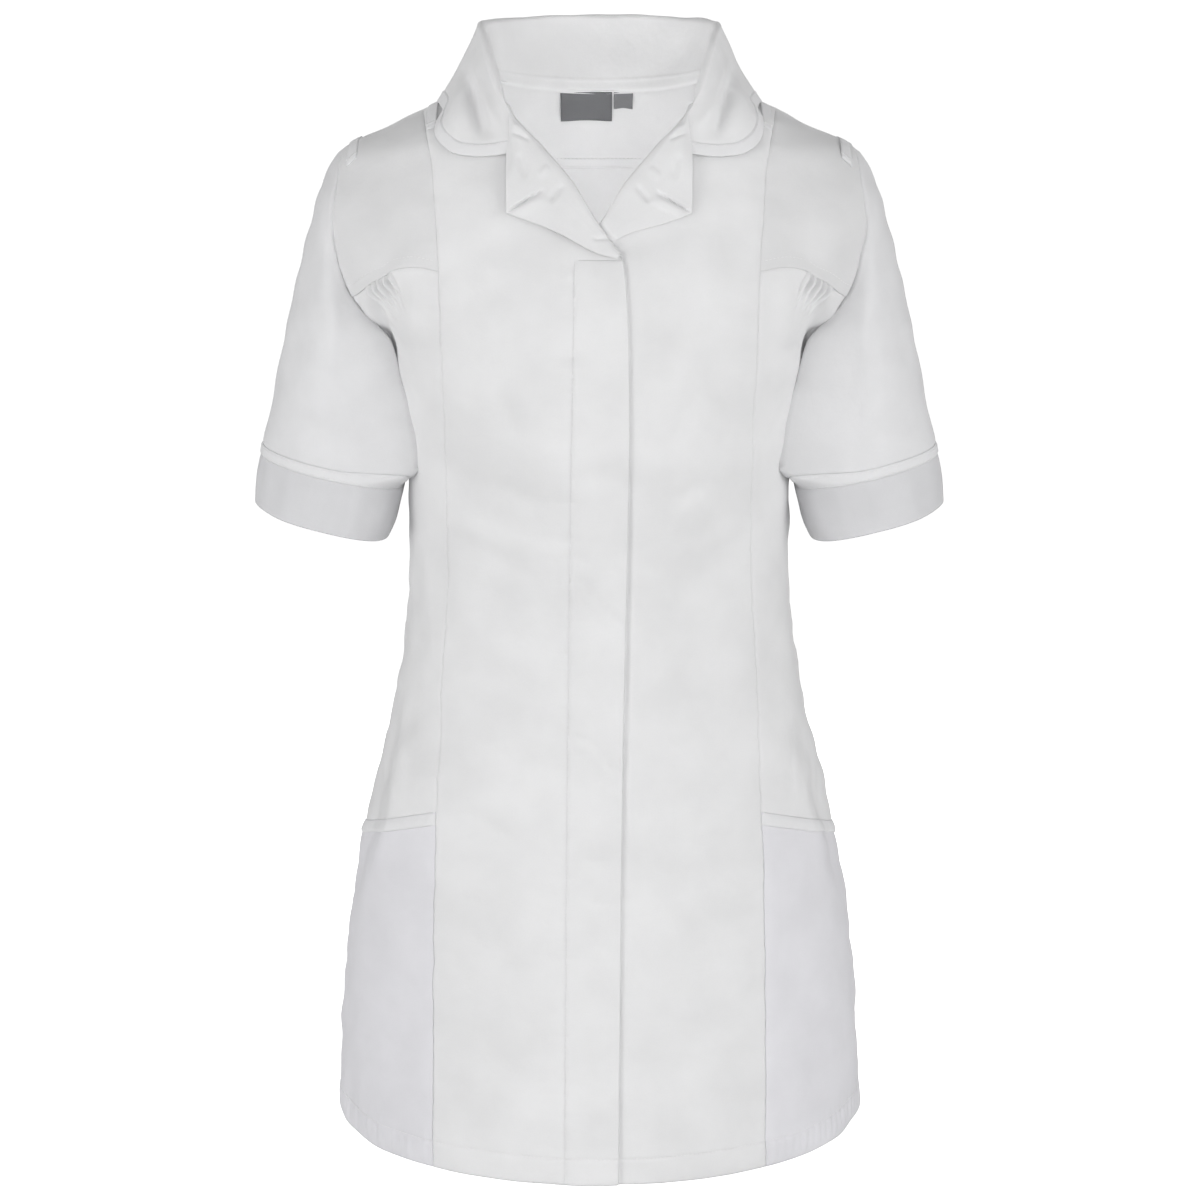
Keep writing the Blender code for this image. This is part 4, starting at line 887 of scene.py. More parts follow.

# Sleeves: short, set in round the armhole, each with a narrow band sewn round above a plain turned-up
# cuff. Cloth as the body's, coloured darker as painted shade; the sleeve hangs in a few soft folds from the
# shoulder tip.
SLEEVE = np.array([
    (0.1780, SHOULDER_TIP_Z, 0.1500, UNDERARM_Z, 0.0560, 0.0620, 1.00),
    (0.1947, -0.0722, 0.1512, -0.2150, 0.0590, 0.0635, 0.62),
    (0.2076, -0.1148, 0.1492, -0.2260, 0.0610, 0.0640, 0.34),
    (0.2185, -0.1570, 0.1466, -0.2380, 0.0615, 0.0630, 0.15),
    (0.2288, -0.2010, 0.1438, -0.2510, 0.0605, 0.0605, 0.05),
    (0.2368, -0.2350, 0.1414, -0.2660, 0.0590, 0.0580, 0.0),
    (0.2420, -0.2590, 0.1399, -0.2800, 0.0580, 0.0565, 0.0),
    (0.2437, -0.2666, 0.1396, -0.2880, 0.0580, 0.0560, 0.0),
    (0.2466, -0.2840, 0.1452, -0.3075, 0.0582, 0.0560, 0.0),
    (0.2494, -0.3013, 0.1528, -0.3260, 0.0585, 0.0560, 0.0)])
TRIM_RING = 6
SLEEVE_FOLDS = [(62.0, -28.0, 18.0, -0.0016), (98.0, -34.0, 17.0, 0.0022), (134.0, -30.0, 18.0, -0.0026),
                (236.0, 34.0, 19.0, -0.0044), (276.0, 30.0, 18.0, 0.0034), (312.0, 18.0, 18.0, -0.0030)]
# Creases on the front of the sleeve, as on the body's front; behind, the same ones at other places.
SLEEVE_CREASES = creases_mm([
    (190.5, -201, 156, -250, 6, 1), (180, -195, 148, -238, 6, -1), (216, -218, 184, -266, 7.5, -1),
    (196, -150, 190, -190, 7, -0.9), (214, -148, 218, -200, 7, -0.7),
    (172, -165, 166, -205, 4.5, -0.6), (180, -136, 170, -160, 5, 0.8)])
# The sleeve and the cuff are the body's cloth, coloured darker as painted shade, the cuff the most.
SLEEVE_SHADED_WHITE, CUFF_SHADED_WHITE = (0.775, 0.775, 0.785), (0.69, 0.69, 0.705)
TRIM_SEWN_LIFT = 0.0009
SLEEVE_COLUMNS, SLEEVE_RADIUS, OUTER_TURN = 96, 0.07, 40.0
INNER_SQUARE, SLEEVE_CLEAR = 3.2, -0.0006       # the inner side is fuller, and rests against the body
# Turns round and rings down between which the inner side comes to rest there, and over how many.
RESTS_FROM_TURN, RESTS_WITHIN, RESTS_TO_RING, FREE_WITHIN = 98.0, 24.0, 5.5, 1.5
ring_curves = [smooth_curve(np.arange(len(SLEEVE)), SLEEVE[:, i]) for i in range(SLEEVE.shape[1])]


def oval_point(oval, up, out, is_front):
    """Point on an oval of the sleeve, up its outer side and out to its front or back."""
    outer_x, outer_z, inner_x, inner_z, before, behind = oval
    return np.stack([(outer_x + inner_x) / 2 + (outer_x - inner_x) / 2 * up,
                     np.where(is_front, -before, behind) * out,
                     (outer_z + inner_z) / 2 + (outer_z - inner_z) / 2 * up], -1)


def sleeve_place(ring, turn):
    """Point on the wearer's left sleeve; turn is degrees round from the shoulder tip, to the front."""
    ring, turn = np.broadcast_arrays(ring, turn % 360.0)
    *oval, held = (curve(ring) for curve in ring_curves)
    is_front = turn <= 180.0
    down = np.where(is_front, turn, 360.0 - turn)
    up, out = np.cos(np.radians(down)), np.sin(np.radians(down))
    hang = ease(ring / 0.10) * (1 - ease((ring - RESTS_TO_RING) / FREE_WITHIN))
    fuller = (1 - np.abs(up) ** INNER_SQUARE) ** (1 / INNER_SQUARE)
    out = np.where(is_front & (down > 90.0), out + (fuller - out) * ease(ring), out)
    share = np.minimum(ring / TRIM_RING, 1.0)
    folds = np.zeros_like(turn)
    for place, lean, wide, deep in SLEEVE_FOLDS:
        off = (turn - place - lean * share + 180.0) % 360.0 - 180.0
        folds += deep * near_line(off, wide)
    folds = 1 + folds * fold_strength(share, 0.5) / oval[4]
    hole = armhole(down, is_front)
    seam = form_point(hole[..., 0], hole[..., 1])
    seam[..., 0] += 0.0002 + 0.0004 * (1 - up) / 2 * ease(ring / 0.18)
    set_in = seam - oval_point(SLEEVE[0, :6], up, out, is_front)
    point = oval_point(oval, up * folds, out * folds, is_front) + set_in * held[..., None]
    y, z = point[..., 1], point[..., 2]
    power, depth_there = body_square(z), np.where(y < 0, body_front(z), body_back(z))
    beside = body_half(z) * (1 - np.minimum(np.abs(y) / depth_there, 1) ** power) ** (1 / power)
    rests = hang * ease((down - RESTS_FROM_TURN) / RESTS_WITHIN)
    point[..., 0] += rests * (beside + SLEEVE_CLEAR - point[..., 0])
    return point


def on_sleeve(ring, turn, lift=0.0):
    """Point on the sleeve's cloth, this far off it, with its ruffles."""
    ring, turn = np.broadcast_arrays(np.asarray(ring, float), np.asarray(turn, float))
    down = sleeve_place(np.minimum(ring + 0.02, 9.0), turn) - sleeve_place(np.maximum(ring - 0.02, 0.0), turn)
    round_step = sleeve_place(ring, turn + 0.6) - sleeve_place(ring, turn - 0.6)
    normal = np.cross(round_step, down)
    normal /= np.linalg.norm(normal, axis=-1, keepdims=True)
    point = sleeve_place(ring, turn)
    sign = np.sign(np.sum(normal[..., 0] * (np.cos(np.radians(turn)))))
    creases = crease_depth(SLEEVE_CREASES, point[..., 0] + 0.012 * (point[..., 1] > 0), point[..., 2])
    off = lift + (ruffle(point) + creases * ease(np.abs(point[..., 1]) / 0.02)) * ease(ring / 0.3)
    return point + sign * normal * off[..., None], sign * normal


def rings_down(first, last):
    """Distance down the sleeve's outer side and its ring, between two rings."""
    fine = np.linspace(first, last, 400)
    length = line_length(sleeve_place(fine, OUTER_TURN))
    down = spread(length[-1], ROW_STEP, (0.0, length[-1]))
    return down, np.interp(down, length, fine)


round_turns = np.arange(0, 360, 360 / SLEEVE_COLUMNS)[None, :]
sleeve_down, sleeve_rings = rings_down(0, TRIM_RING)
down_sleeve = sleeve_down[:, None]
round_sleeve = np.radians(round_turns) * SLEEVE_RADIUS
above_band = sleeve_down[-1] - down_sleeve
sleeve_lift = (-0.0004 * near_line(down_sleeve, 0.0012) + pucker(round_sleeve, down_sleeve, 0.0004, 0.010)
               + 0.0005 * near_line(down_sleeve - 0.006, 0.004)
               + pucker(round_sleeve, above_band, 0.00035, 0.006) + seam_roll(above_band))
trim_down, trim_rings = rings_down(TRIM_RING, TRIM_RING + 1)
down_trim = trim_down[:, None]
trim_nearer = np.minimum(down_trim, trim_down[-1] - down_trim)
trim_lift = (-0.0002 + 0.0009 * ease(trim_nearer / 0.0018) + pucker(round_sleeve, trim_nearer, 0.0002, 0.006))
cuff_down, cuff_rings = rings_down(TRIM_RING + 1, len(SLEEVE) - 1)
down_cuff = cuff_down[:, None]
cuff_ripple = uneven(round_sleeve, 300, 2, 55, 190)
cuff_in = np.array([0.0006, 0.0015, 0.0030, 0.0060, 0.0110, 0.0160])
cuff_lift = (seam_roll(down_cuff) + pucker(round_sleeve, down_cuff, 0.0003, 0.006)
             + 0.0005 * cuff_ripple * ease(down_cuff / 0.004) * ease((cuff_down[-1] - down_cuff) / 0.008))
cuff_inside = cuff_lift[-1:] - 0.0012 * ease(cuff_in[:, None] / 0.0012)
cuff_rings_in = np.interp(cuff_down[-1] - cuff_in, cuff_down, cuff_rings)
sleeve_shaded_cloth = woven_finish("sleeve_shaded_polycotton", SLEEVE_SHADED_WHITE)
cuff_shaded_cloth = woven_finish("cuff_shaded_polycotton", CUFF_SHADED_WHITE)
sleeve_middle = np.array([0.185, 0.0, -0.2])

armhole_seam = on_sleeve(0.0, round_turns, -0.0004)[0]
hole_turn = armhole(np.where(round_turns <= 180, round_turns, 360 - round_turns), round_turns <= 180)
under_body = form_normal(hole_turn[..., 0], hole_turn[..., 1])
allowance = np.concatenate([armhole_seam - under_body * deep - [towards, 0, 0]
                            for deep, towards in ((0.0022, 0.0060), (0.0018, 0.0030), (0.0010, 0.0008))])

sleeve_points = np.concatenate([allowance, on_sleeve(sleeve_rings[:, None], round_turns, sleeve_lift)[0]])
trim_points = on_sleeve(trim_rings[:, None], round_turns, trim_lift)[0]
cuff_points = np.concatenate([on_sleeve(cuff_rings[:, None], round_turns, cuff_lift)[0],
                              on_sleeve(cuff_rings_in[:, None], round_turns, cuff_inside)[0]])
trim_sewn = np.interp([TRIM_STITCHED, trim_down[-1] - TRIM_STITCHED], trim_down, trim_rings)
trim_lines = [on_sleeve(ring, np.linspace(0, 360, 500), TRIM_SEWN_LIFT) for ring in trim_sewn]

for name, side in SIDES:
    turned = np.array([side, 1.0, 1.0])
    sleeve, band, cuff = (
        cloth_piece(name + end, points * turned, inside=sleeve_middle * turned, closed=True) for end, points
        in (("_sleeve", sleeve_points), ("_sleeve_band", trim_points), ("_cuff", cuff_points)))
    band_stitches = stitching(name + "_sleeve_band_stitches", [
        (path * turned, outward * turned) for path, outward in trim_lines])
    hand_over(sleeve, sleeve_shaded_cloth, "sleeve_" + name)
    hand_over(band, trim_cloth, "sleeve_trim_" + name)
    hand_over(cuff, cuff_shaded_cloth, "cuff_" + name)

# Collar: stand and rounded leaf in one, interlined, rolled over round the back of the neck. A band
# 9 mm wide finishes the leaf's outer edge and ends, and the stand is topstitched to the neck seam.
COLLAR_PLY, COLLAR_ROLL, LEAF_LIFT, BAND = 0.0010, 0.0028, 0.0030, 0.009
LEAF_DEEP, LEAF_STEP = 0.066, 0.0035
NECK_ROW = 21               # row of the front edge from which the collar is sewn to it
SHOULDER_ROW, SHOULDER_ROWS, TUCKED_ROW = 5.5, 2.3, 14.0
STAND_LAP = 0.0034          # the stand's inner layer is lapped over the neck seam
STAND_SEWN = 0.13           # share of the stand's height where it is topstitched
COLLAR = np.array([     # seam y; top fold x, y, z; leaf edge's angle and height; bulge of the leaf
    (0.0730, 0.0000, 0.0810, 0.0380, 180.0, -0.0300, 0.006),
    (0.0694, 0.0225, 0.0794, 0.0379, 169.0, -0.0305, 0.006),
    (0.0635, 0.0440, 0.0735, 0.0376, 156.0, -0.0315, 0.005),
    (0.0510, 0.0625, 0.0595, 0.0372, 140.0, -0.0310, 0.004),
    (0.0310, 0.0772, 0.0360, 0.0370, 121.0, -0.0265, 0.000),
    (0.0140, 0.0826, 0.0150, 0.0368, 104.0, -0.0192, -0.0015),
    (-0.0030, 0.0826, -0.0030, 0.0352, 84.0, -0.0180, -0.0015),
    (-0.0160, 0.0798, -0.0160, 0.0296, 65.7, -0.0205, -0.0010),
    (-0.0250, 0.0775, -0.0270, 0.0232, 53.0, -0.0292, 0.000),
    (-0.0325, 0.0750, -0.0360, 0.0152, 43.5, -0.0380, 0.002),
    (-0.0390, 0.0722, -0.0435, 0.0070, 36.2, -0.0445, 0.002),
    (-0.0440, 0.0697, -0.0490, -0.0002, 30.0, -0.0492, 0.002),
    (-0.0478, 0.0678, -0.0525, -0.0055, 24.8, -0.0501, 0.002),
    (-0.0505, 0.0662, -0.0547, -0.0098, 20.5, -0.0490, 0.001),
    (-0.0530, 0.0640, -0.0572, -0.0150, 18.3, -0.0478, 0.001),
    (-0.0552, 0.0614, -0.0592, -0.0196, 16.4, -0.0468, 0.0)])
COLLAR_CREASES = creases_mm([
    (94, 13, 78.5, -44, 5.8, -6.4), (88, 14, 70, -35, 4.2, 2.6),
    (101, -3, 96, -38, 4.8, 1.6)])

neck_front = front_edge(np.linspace(NECK_ROW, len(FRONT_EDGE) - 1, 60))
neck_back = yoke_top[(shares > -NECK_SHARE) & (shares <= 0)]
neck_places = np.concatenate([form_point(neck_front[:, 0], neck_front[:, 1]),
                              form_point(360 - neck_back[:, 0], neck_back[:, 1])])
neck_places[:, 0] = np.abs(neck_places[:, 0])
neck_places = neck_places[np.argsort(neck_places[:, 1])]
collar_curves = [smooth_curve(np.arange(len(COLLAR)), COLLAR[:, i]) for i in range(7)]
collar_fine = np.linspace(0, len(COLLAR) - 1, 600)
collar_gone = line_length(np.stack([curve(collar_fine) for curve in collar_curves[1:4]], -1))
collar_along = spread(collar_gone[-1], ROW_STEP, (collar_gone[-1],))
collar_row = np.interp(collar_along, collar_gone, collar_fine)

seam_y, fold_x, fold_y, fold_z, leaf_angle, leaf_z, bulge = (curve(collar_row) for curve in collar_curves)
seam_x, seam_height = (np.interp(seam_y, neck_places[:, 1], neck_places[:, axis]) for axis in (0, 2))
stand_foot = np.stack([seam_x, seam_y, seam_height + 0.0006], -1)
fold = np.stack([fold_x, fold_y, fold_z], -1)
# The leaf lies closer over the shoulders, and is tucked under the revers.
leaf_lift = LEAF_LIFT - 0.0021 * near_line(collar_row - SHOULDER_ROW, SHOULDER_ROWS)
leaf_lift -= 0.0014 * ease(collar_row - TUCKED_ROW)
leaf_edge = form_point(leaf_angle, leaf_z) + form_normal(leaf_angle, leaf_z) * leaf_lift[:, None]
away = (leaf_edge - fold) * [1, 1, 0]
away /= np.linalg.norm(away, axis=1, keepdims=True)
overhead = np.array([0.0, 0.0, 1.0])
inner_top = fold - away * COLLAR_ROLL - overhead * COLLAR_ROLL
outer_top = fold + away * COLLAR_ROLL - overhead * COLLAR_ROLL * 0.8
fall = leaf_edge - outer_top
drop = np.linalg.norm(fall, axis=1, keepdims=True)
stand_off = overhead - fall * (fall[:, 2:] / drop ** 2)
stand_off /= np.linalg.norm(stand_off, axis=1, keepdims=True)

stand_shares = np.array([0, 0.03, 0.06, 0.09, 0.11, 0.13, 0.15, 0.17, 0.2, 0.25, 0.32, 0.4, 0.48, 0.56,
                         0.64, 0.72, 0.8, 0.88, 0.95, 1])
roll_turns = np.radians(np.linspace(0, 180, 9)[1:-1])
leaf_reach = spread(LEAF_DEEP, LEAF_STEP, (0.0, LEAF_DEEP - BAND, LEAF_DEEP))
leaf_out = fit_width(leaf_reach, drop[:, 0], keep=0.012)
profile = [stand_foot - overhead * STAND_LAP + away * STAND_LAP * 0.1]
profile += [stand_foot + (inner_top - stand_foot) * share for share in stand_shares]
for turn in roll_turns:
    profile.append((inner_top + outer_top) / 2 + (inner_top - outer_top) / 2 * math.cos(turn)
                   + overhead * COLLAR_ROLL * 0.95 * math.sin(turn))
leaf_share = leaf_out / drop
leaf_off = bulge[:, None] * np.sin(np.pi * leaf_share)
leaf_rows = outer_top[:, None] + fall[:, None] * leaf_share[..., None]
leaf_rows = leaf_rows + stand_off[:, None] * leaf_off[..., None]
half_collar = np.concatenate([np.stack(profile, 1), leaf_rows[:, 1:]], axis=1)
collar_points = np.concatenate([(half_collar[1:] * [-1, 1, 1])[::-1], half_collar])


def both_sides(half, sign=1):
    """Values along the whole collar, from those from the back's middle to one end."""
    return np.concatenate([sign * half[1:][::-1], half])


collar_normal = np.cross(np.gradient(collar_points, axis=0), np.gradient(collar_points, axis=1))
collar_normal /= np.linalg.norm(collar_normal, axis=-1, keepdims=True)
middle_row = len(collar_points) // 2
if collar_normal[middle_row, -3, 1] < 0:
    collar_normal = -collar_normal
on_leaf = np.arange(collar_points.shape[1]) >= len(profile)
reach = np.zeros(collar_points.shape[:2])
reach[:, len(profile):] = both_sides(leaf_out[:, 1:])
from_edge = both_sides(drop) - reach
along_collar = both_sides(collar_along, sign=-1)
leaf_creases = crease_depth(COLLAR_CREASES, np.abs(collar_points[..., 0]), collar_points[..., 2])
collar_off = ruffle(collar_points) * 0.7 + on_leaf * (
    leaf_creases * (collar_points[..., 1] < 0)
    + pucker(along_collar[:, None], from_edge - BAND, 0.00025, 0.006)
    - 0.0002 * near_line(from_edge - BAND, 0.0013))
stand_sewn = np.zeros(collar_points.shape[1])
stand_sewn[1:1 + len(stand_shares)] = near_line(stand_shares - STAND_SEWN, 0.018)
collar_off = collar_off + stand_sewn * (0.0004 + pucker(along_collar[:, None], 0.0, 0.00025))
collar_points = collar_points + collar_normal * collar_off[..., None]
collar = cloth_piece("neck_collar", collar_points, inside=collar_points - collar_normal, ply=COLLAR_PLY)
band_columns = from_edge[middle_row] <= BAND + 1e-4
band_grid, band_normal = collar_points[:, band_columns], collar_normal[:, band_columns]
band_off = 0.0002 + 0.0004 * ease((BAND - from_edge[:, band_columns]) / 0.0020)
collar_band = cloth_piece("collar_band", band_grid + band_normal * band_off[..., None],
                          inside=band_grid - band_normal)
leaf_column = np.argmin(np.abs(from_edge[middle_row] - (BAND - 0.0018)))
leaf_line = (collar_points + collar_normal * 0.0010)[:, leaf_column]
stand_column = 1 + np.argmin(np.abs(stand_shares - STAND_SEWN))
stand_line = (collar_points - collar_normal * COLLAR_PLY / 2)[8:-8, stand_column]
collar_stitches = stitching("collar_stitches", [
    (leaf_line, collar_normal[:, leaf_column]), (stand_line, -collar_normal[8:-8, stand_column])])
hand_over(collar, white_cloth, "collar")
hand_over(collar_band, trim_cloth, "collar_trim")

# Revers: the facings' turned-back tops, pressed open over the fronts. The right one lies on top and
# comes to a point at the break; each meets the collar's end at the notch.
REVERS = np.array([     # roll line out and height, outer edge out and height, lift over the front
    (0.0622, -0.0185, 0.0634, -0.0195, 0.0080),
    (0.0590, -0.0248, 0.0622, -0.0268, 0.0085), (0.0560, -0.0283, 0.0628, -0.0360, 0.0085),
    (0.0505, -0.0338, 0.0630, -0.0490, 0.0080), (0.0430, -0.0402, 0.0632, -0.0620, 0.0068),
    (0.0335, -0.0500, 0.0632, -0.0745, 0.0055), (0.0250, -0.0590, 0.0631, -0.0862, 0.0048),
    (0.0180, -0.0675, 0.0510, -0.0903, 0.0045), (0.0115, -0.0775, 0.0370, -0.0949, 0.0042),
    (0.0055, -0.0870, 0.0235, -0.1007, 0.0040), (0.0000, -0.0952, 0.0110, -0.1074, 0.0038),
    (-0.0070, -0.1048, 0.0000, -0.1122, 0.0036), (-0.0140, -0.1130, -0.0125, -0.1150, 0.0034)])
REVERS_CORNER, LEFT_LAST_ROW, LEFT_LIFT, LEFT_RISE = 6, 11, 0.62, 0.0045
REVERS_CREASES = creases_mm([
    (63.2, -86.2, 36.5, -70, 1.3, -2.6), (60, -87.6, 34, -75.2, 3.6, 2.2), (24, -66, 35, -80, 3, -2),
    (58, -23.2, 47, -33.2, 2.2, -1.7), (60.4, -36, 45.5, -41, 1.8, -1.5),
    (60, -31, 48, -37, 1.8, 1.2), (-9.5, -102.2, 6, -102.6, 1.6, -1.4), (54, -47, 50, -66, 4, -1.7),
    (33, -56, 42, -64, 3, 1.2)])
REVERS_WHITE, REVERS_PLY = (0.80, 0.80, 0.805), 0.0010
NOTCH_ROW = 3.0             # row down to which the revers is sewn to the collar
UNDER_RIGHT = -0.0009       # lift of the left revers where it passes under the right front's edge

revers_cloth = woven_finish("revers_polycotton", REVERS_WHITE)


def revers_curve(column, corner):
    """Smooth curve down the revers, or two that meet at its corner."""
    rows = np.arange(len(REVERS))
    if not corner:
        return smooth_curve(rows, REVERS[:, column])
    upper = smooth_curve(rows[:REVERS_CORNER + 1], REVERS[:REVERS_CORNER + 1, column])
    lower = smooth_curve(rows[REVERS_CORNER:], REVERS[REVERS_CORNER:, column])
    return lambda row: np.where(row <= REVERS_CORNER, upper(row), lower(row))


across_share = np.concatenate([[0.0, 0.0, 0.01, 0.03, 0.06, 0.1], np.linspace(0.13, 0.95, 34),
                               [0.97, 0.985, 1.0]])
tucked = np.concatenate([[0.0004, 0.0009, 0.0007, 0.0003], np.zeros(len(across_share) - 4)])
height_share = np.interp(across_share, [0.0, 0.06, 0.3, 0.65, 1.0], [0.5, 0.92, 1.0, 0.95, 0.8])
height_share[:3] = (0.0, 0.35, 0.65)
for name, side, lift_share, last in (
        ("left", 1, LEFT_LIFT, LEFT_LAST_ROW), ("right", -1, 1.0, len(REVERS) - 1)):
    fine = np.linspace(0, last, 500)
    roll_out, roll_z, edge_out, edge_z, lifts = (revers_curve(i, i in (2, 3))(fine) for i in range(5))
    corner_gone = line_length(np.stack([edge_out, edge_z], -1))
    corner_at = np.interp(REVERS_CORNER, fine, corner_gone)
    down = spread(corner_gone[-1], 0.0012, (0.0, corner_at, corner_gone[-1]))
    row = np.interp(down, corner_gone, fine)
    roll_out, roll_z, edge_out, edge_z, lifts = (revers_curve(i, i in (2, 3))(row)[:, None] for i in range(5))
    row = row[:, None]
    if side > 0:
        edge_z = edge_z + LEFT_RISE * ease((row - 7.5) / 2.5)
    out = roll_out + (edge_out - roll_out) * across_share - tucked
    z = roll_z + (edge_z - roll_z) * across_share + tucked * 0.7
    angle = side * angle_at_out(out, z)
    sewn_to_collar = (1 - ease((row - NOTCH_ROW) / 1.5)) * ease((across_share - 0.3) / 0.7)
    lift = lifts * (lift_share + (1 - lift_share) * (1 - ease((row - NOTCH_ROW) / 3.0)))
    lift = lift * (height_share - 0.28 * sewn_to_collar)
    points, normal = form_point(angle, z), form_normal(angle, z)
    if side > 0:
        lift = UNDER_RIGHT + (lift - UNDER_RIGHT) * ease((points[..., 0] - right_edge_at(z)) / 0.009)
    lift = lift + ruffle(points) * 0.6 + crease_depth(REVERS_CREASES, side * points[..., 0], points[..., 2])
    revers = cloth_piece(name + "_revers", points + normal * lift[..., None], ply=REVERS_PLY)
    hand_over(revers, revers_cloth, "revers_" + name)

# Loops: narrow folded straps over each shoulder seam, one at the tip and one beside the collar, sewn
# down at both ends with a bar of close zigzag stitches.
LOOPS = [("shoulder_loop", 0.1720, 0.0072, 0.036, 0.034, 0.0003),     # place out, width, reach before
         ("neck_loop", 0.1162, 0.0070, 0.042, 0.036, 0.0002)]         # and behind the seam, rise between
LOOP_SEWN_LIFT, STRAP_PLY = 0.0004, 0.0006
BARTACK_ROWS, BARTACK_LONG, BARTACK_THREADS = (2, 30), 0.0018, 17


def shoulder_place(out, reach, is_front):
    """Angle and height on the shoulder this far out, reach before or behind its seam."""
    heights = np.linspace(-0.10, 0.0, 2001)
    angles = angle_at_out(out, heights)
    angles = angles if is_front else 180.0 - angles
    depth = np.abs(form_point(angles, heights)[:, 1])
    over = body_half(heights) <= out
    below_top = heights <= (heights[over].min() if over.any() else 0.0)
    i = np.argmin(np.abs(depth[below_top] - reach))
    return angles[below_top][i], heights[below_top][i]


for loop, out, width, front_reach, back_reach, stand in LOOPS:
    rows = []
    for along in np.linspace(-1.0, 1.0, 33):
        reach = (front_reach if along < 0 else back_reach) * abs(along)
        row = []
        for across in np.linspace(-0.5, 0.5, 7):
            angle, z = shoulder_place(out + width * across, reach, along < 0)
            crown = 0.0002 * (1 - (2 * across) ** 4)
            lift = LOOP_SEWN_LIFT + stand * (1 - along ** 6) + crown
            row.append(form_point(angle, z) + form_normal(angle, z) * lift)
        rows.append(row)
    rows = np.array(rows)
    for name, side in SIDES:
        strap = cloth_piece(loop.replace("_loop", "_strap_") + name, rows * [side, 1, 1], ply=STRAP_PLY)
        hand_over(strap, trim_cloth, loop + "_" + name)
        threads = []
        for row in BARTACK_ROWS:
            run = rows[row + 1, 3] - rows[row - 1, 3]
            run *= BARTACK_LONG / 2 / np.linalg.norm(run)
            outward = np.cross(rows[row, 6] - rows[row, 0], run)
            outward *= np.sign(outward[2]) / np.linalg.norm(outward)
            for across in np.linspace(0, 6, BARTACK_THREADS):
                middle = rows[row, 0] + (rows[row, 6] - rows[row, 0]) * across / 6 + outward * STRAP_PLY * 0.7
                ends = np.array([middle - run, middle + run]) * [side, 1, 1]
                threads.append((ends, np.array([outward, outward]) * [side, 1, 1]))
        stitching(strap.name + "_bartacks", threads, pitch=BARTACK_LONG, length=BARTACK_LONG, radius=0.0003)

# Labels: a woven label and a small size tab, both left bare, sewn into the back neck seam so that they
# hang inside the yoke. Grey damask-woven tape with a faint rib.
# Node and name; left and right edges; fall, lift at the foot and whole length of the tape.
LABELS = [("neck_label", "maker_label", -0.0284, 0.0093, 0.0206, -0.0030, 0.0262),
          ("size_tab", "bare_tab", 0.0107, 0.0245, 0.0106, -0.0034, 0.0155)]
LABEL_GREY, TAB_GREY, LABEL_HANG, LABEL_TOP = (0.155, 0.157, 0.165), (0.20, 0.20, 0.21), 0.0008, -0.0013

for (node, name, left, right, fall, lift, long), colour in zip(LABELS, (LABEL_GREY, TAB_GREY)):
    down = np.linspace(0, 1, 15)[:, None]
    x = left + (right - left) * np.linspace(0, 1, 21)[None, :] + 0 * down
    z = NAPE_Z - 0.0006 - fall * down + 0 * x
    angle = 180.0 - angle_at_out(x, z)
    curl = -0.0006 * down ** 2 * np.cos(np.linspace(0, 2 * math.pi, 21))[None]
    hang = LABEL_TOP + (lift - LABEL_HANG * down - LABEL_TOP) * ease(down * fall / 0.005)
    points = form_point(angle, z) + form_normal(angle, z) * (hang + curl)[..., None]
    label = cloth_piece(name, points, ply=0.0005)
    tape = woven_finish(name + "_tape", colour, shade=0.85, weave_pitch=0.0007, weave_height=0.00006,
                        roughness=0.6)
    hand_over(label, tape, node)

# Studio: a pale floor far below the hanging tunic and a pale dome behind it, soft panels before, beside,
# above and behind it and one inside the neck, and the camera of the photograph.
FLOOR_Z, FLOOR_REACH = -1.45, 60.0
FLOOR_GREYS = ((0.88, 0.88, 0.88), (0.90, 0.90, 0.90))
DOME_RADIUS, DOME_SIDES, DOME_RINGS = 50.0, 32, 8
PANELS = [      # name, place, the point it faces, width, height and power
    ("front_panel", (0.0, -3.6, 0.15), (0.0, 0.0, -0.30), 2.4, 2.4, 42),
    ("side_panel", (-3.0, -1.9, -0.20), (0.0, 0.0, -0.40), 2.2, 2.8, 60),
    ("side_panel", (3.0, -1.9, -0.20), (0.0, 0.0, -0.40), 2.2, 2.8, 60),
    ("top_panel", (0.0, 0.1, 2.2), (0.0, 0.05, -0.2), 2.0, 1.4, 4),
    ("back_panel", (0.0, 3.6, 0.1), (0.0, 0.0, -0.30), 2.6, 2.6, 60),
    ("neck_panel", (0.0, -0.060, -0.150), (0.0, 0.090, -0.010), 0.120, 0.050, 0.19)]
SKY_STRENGTH = 0.28
CAMERA_PLACE, CAMERA_DOWN, LENS_MM, SENSOR_MM = (0.0005, -2.3, 0.17418), 13.5, 97.216, 36.0

pale = Finish("pale_floor")
grain = pale.noise(3.0, 2.0)
tint = pale.tint(grain, 0.3, FLOOR_GREYS[0], 0.7, FLOOR_GREYS[1])
pale.put(pale.shader, {"Base Color": tint.outputs[0], "Roughness": 0.9,
                       "Emission Color": (1.0, 1.0, 1.0, 1.0), "Emission Strength": 0.85})


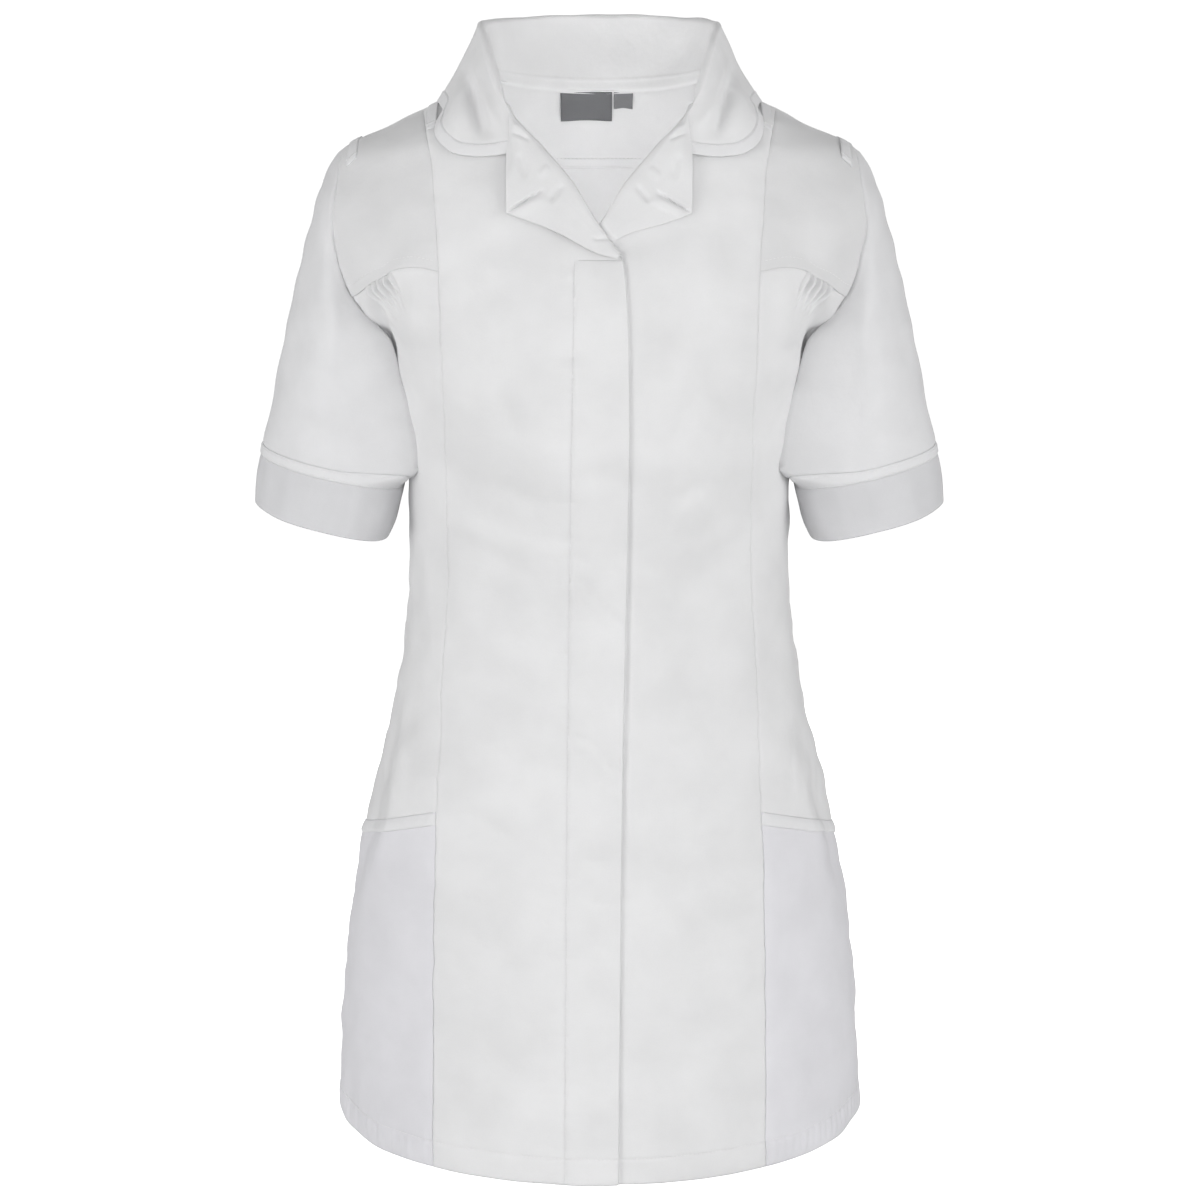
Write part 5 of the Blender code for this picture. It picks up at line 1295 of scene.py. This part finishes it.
def staged(name, points, faces):
    """A piece of the studio, level with the floor."""
    mesh = bpy.data.meshes.new(name)
    mesh.from_pydata(points, [], faces)
    mesh.materials.append(pale.material)
    piece = bpy.data.objects.new(name, mesh)
    piece.location = (0.0, 0.0, FLOOR_Z)
    piece.visible_diffuse = False        # a white sweep lights the real garment from the front only
    bpy.context.scene.collection.objects.link(piece)
    return piece


floor_corners = [(x * FLOOR_REACH, y * FLOOR_REACH, 0) for x, y in ((-1, -1), (1, -1), (1, 1), (-1, 1))]
staged("floor", floor_corners, [(0, 1, 2, 3)])
tilt, turn = np.meshgrid(np.linspace(0, math.pi / 2, DOME_RINGS),
                         np.linspace(0, 2 * math.pi, DOME_SIDES + 1), indexing="ij")
dome_points = DOME_RADIUS * np.stack([
    np.cos(tilt) * np.cos(turn), np.cos(tilt) * np.sin(turn), np.sin(tilt)], -1)
corner = np.arange(tilt.size).reshape(tilt.shape)
dome_faces = np.stack([corner[:-1, :-1], corner[:-1, 1:], corner[1:, 1:], corner[1:, :-1]], -1).reshape(-1, 4)
dome = staged("backdrop", dome_points.reshape(-1, 3).tolist(), dome_faces.tolist())
dome.visible_glossy = dome.visible_shadow = False

world = bpy.data.worlds.new("white_studio")
world.use_nodes = True
bpy.context.scene.world = world
background = world.node_tree.nodes["Background"]
background.inputs["Color"].default_value = (1.0, 1.0, 1.0, 1.0)
background.inputs["Strength"].default_value = SKY_STRENGTH

for name, place, aim, wide, high, power in PANELS:
    lamp = bpy.data.lights.new(name, "AREA")
    lamp.shape, lamp.size, lamp.size_y, lamp.energy = "RECTANGLE", wide, high, power
    softbox = bpy.data.objects.new(name, lamp)
    softbox.location = place
    softbox.rotation_euler = (Vector(aim) - Vector(place)).to_track_quat("-Z", "Y").to_euler()
    softbox.visible_camera = False
    bpy.context.scene.collection.objects.link(softbox)

lens = bpy.data.cameras.new("studio_camera")
lens.lens, lens.sensor_width = LENS_MM, SENSOR_MM
camera = bpy.data.objects.new("studio_camera", lens)
camera.location = CAMERA_PLACE
camera.rotation_euler = (math.radians(90 - CAMERA_DOWN), 0.0, 0.0)
bpy.context.scene.collection.objects.link(camera)
bpy.context.scene.camera = camera
bpy.context.scene.view_settings.view_transform = "Standard"
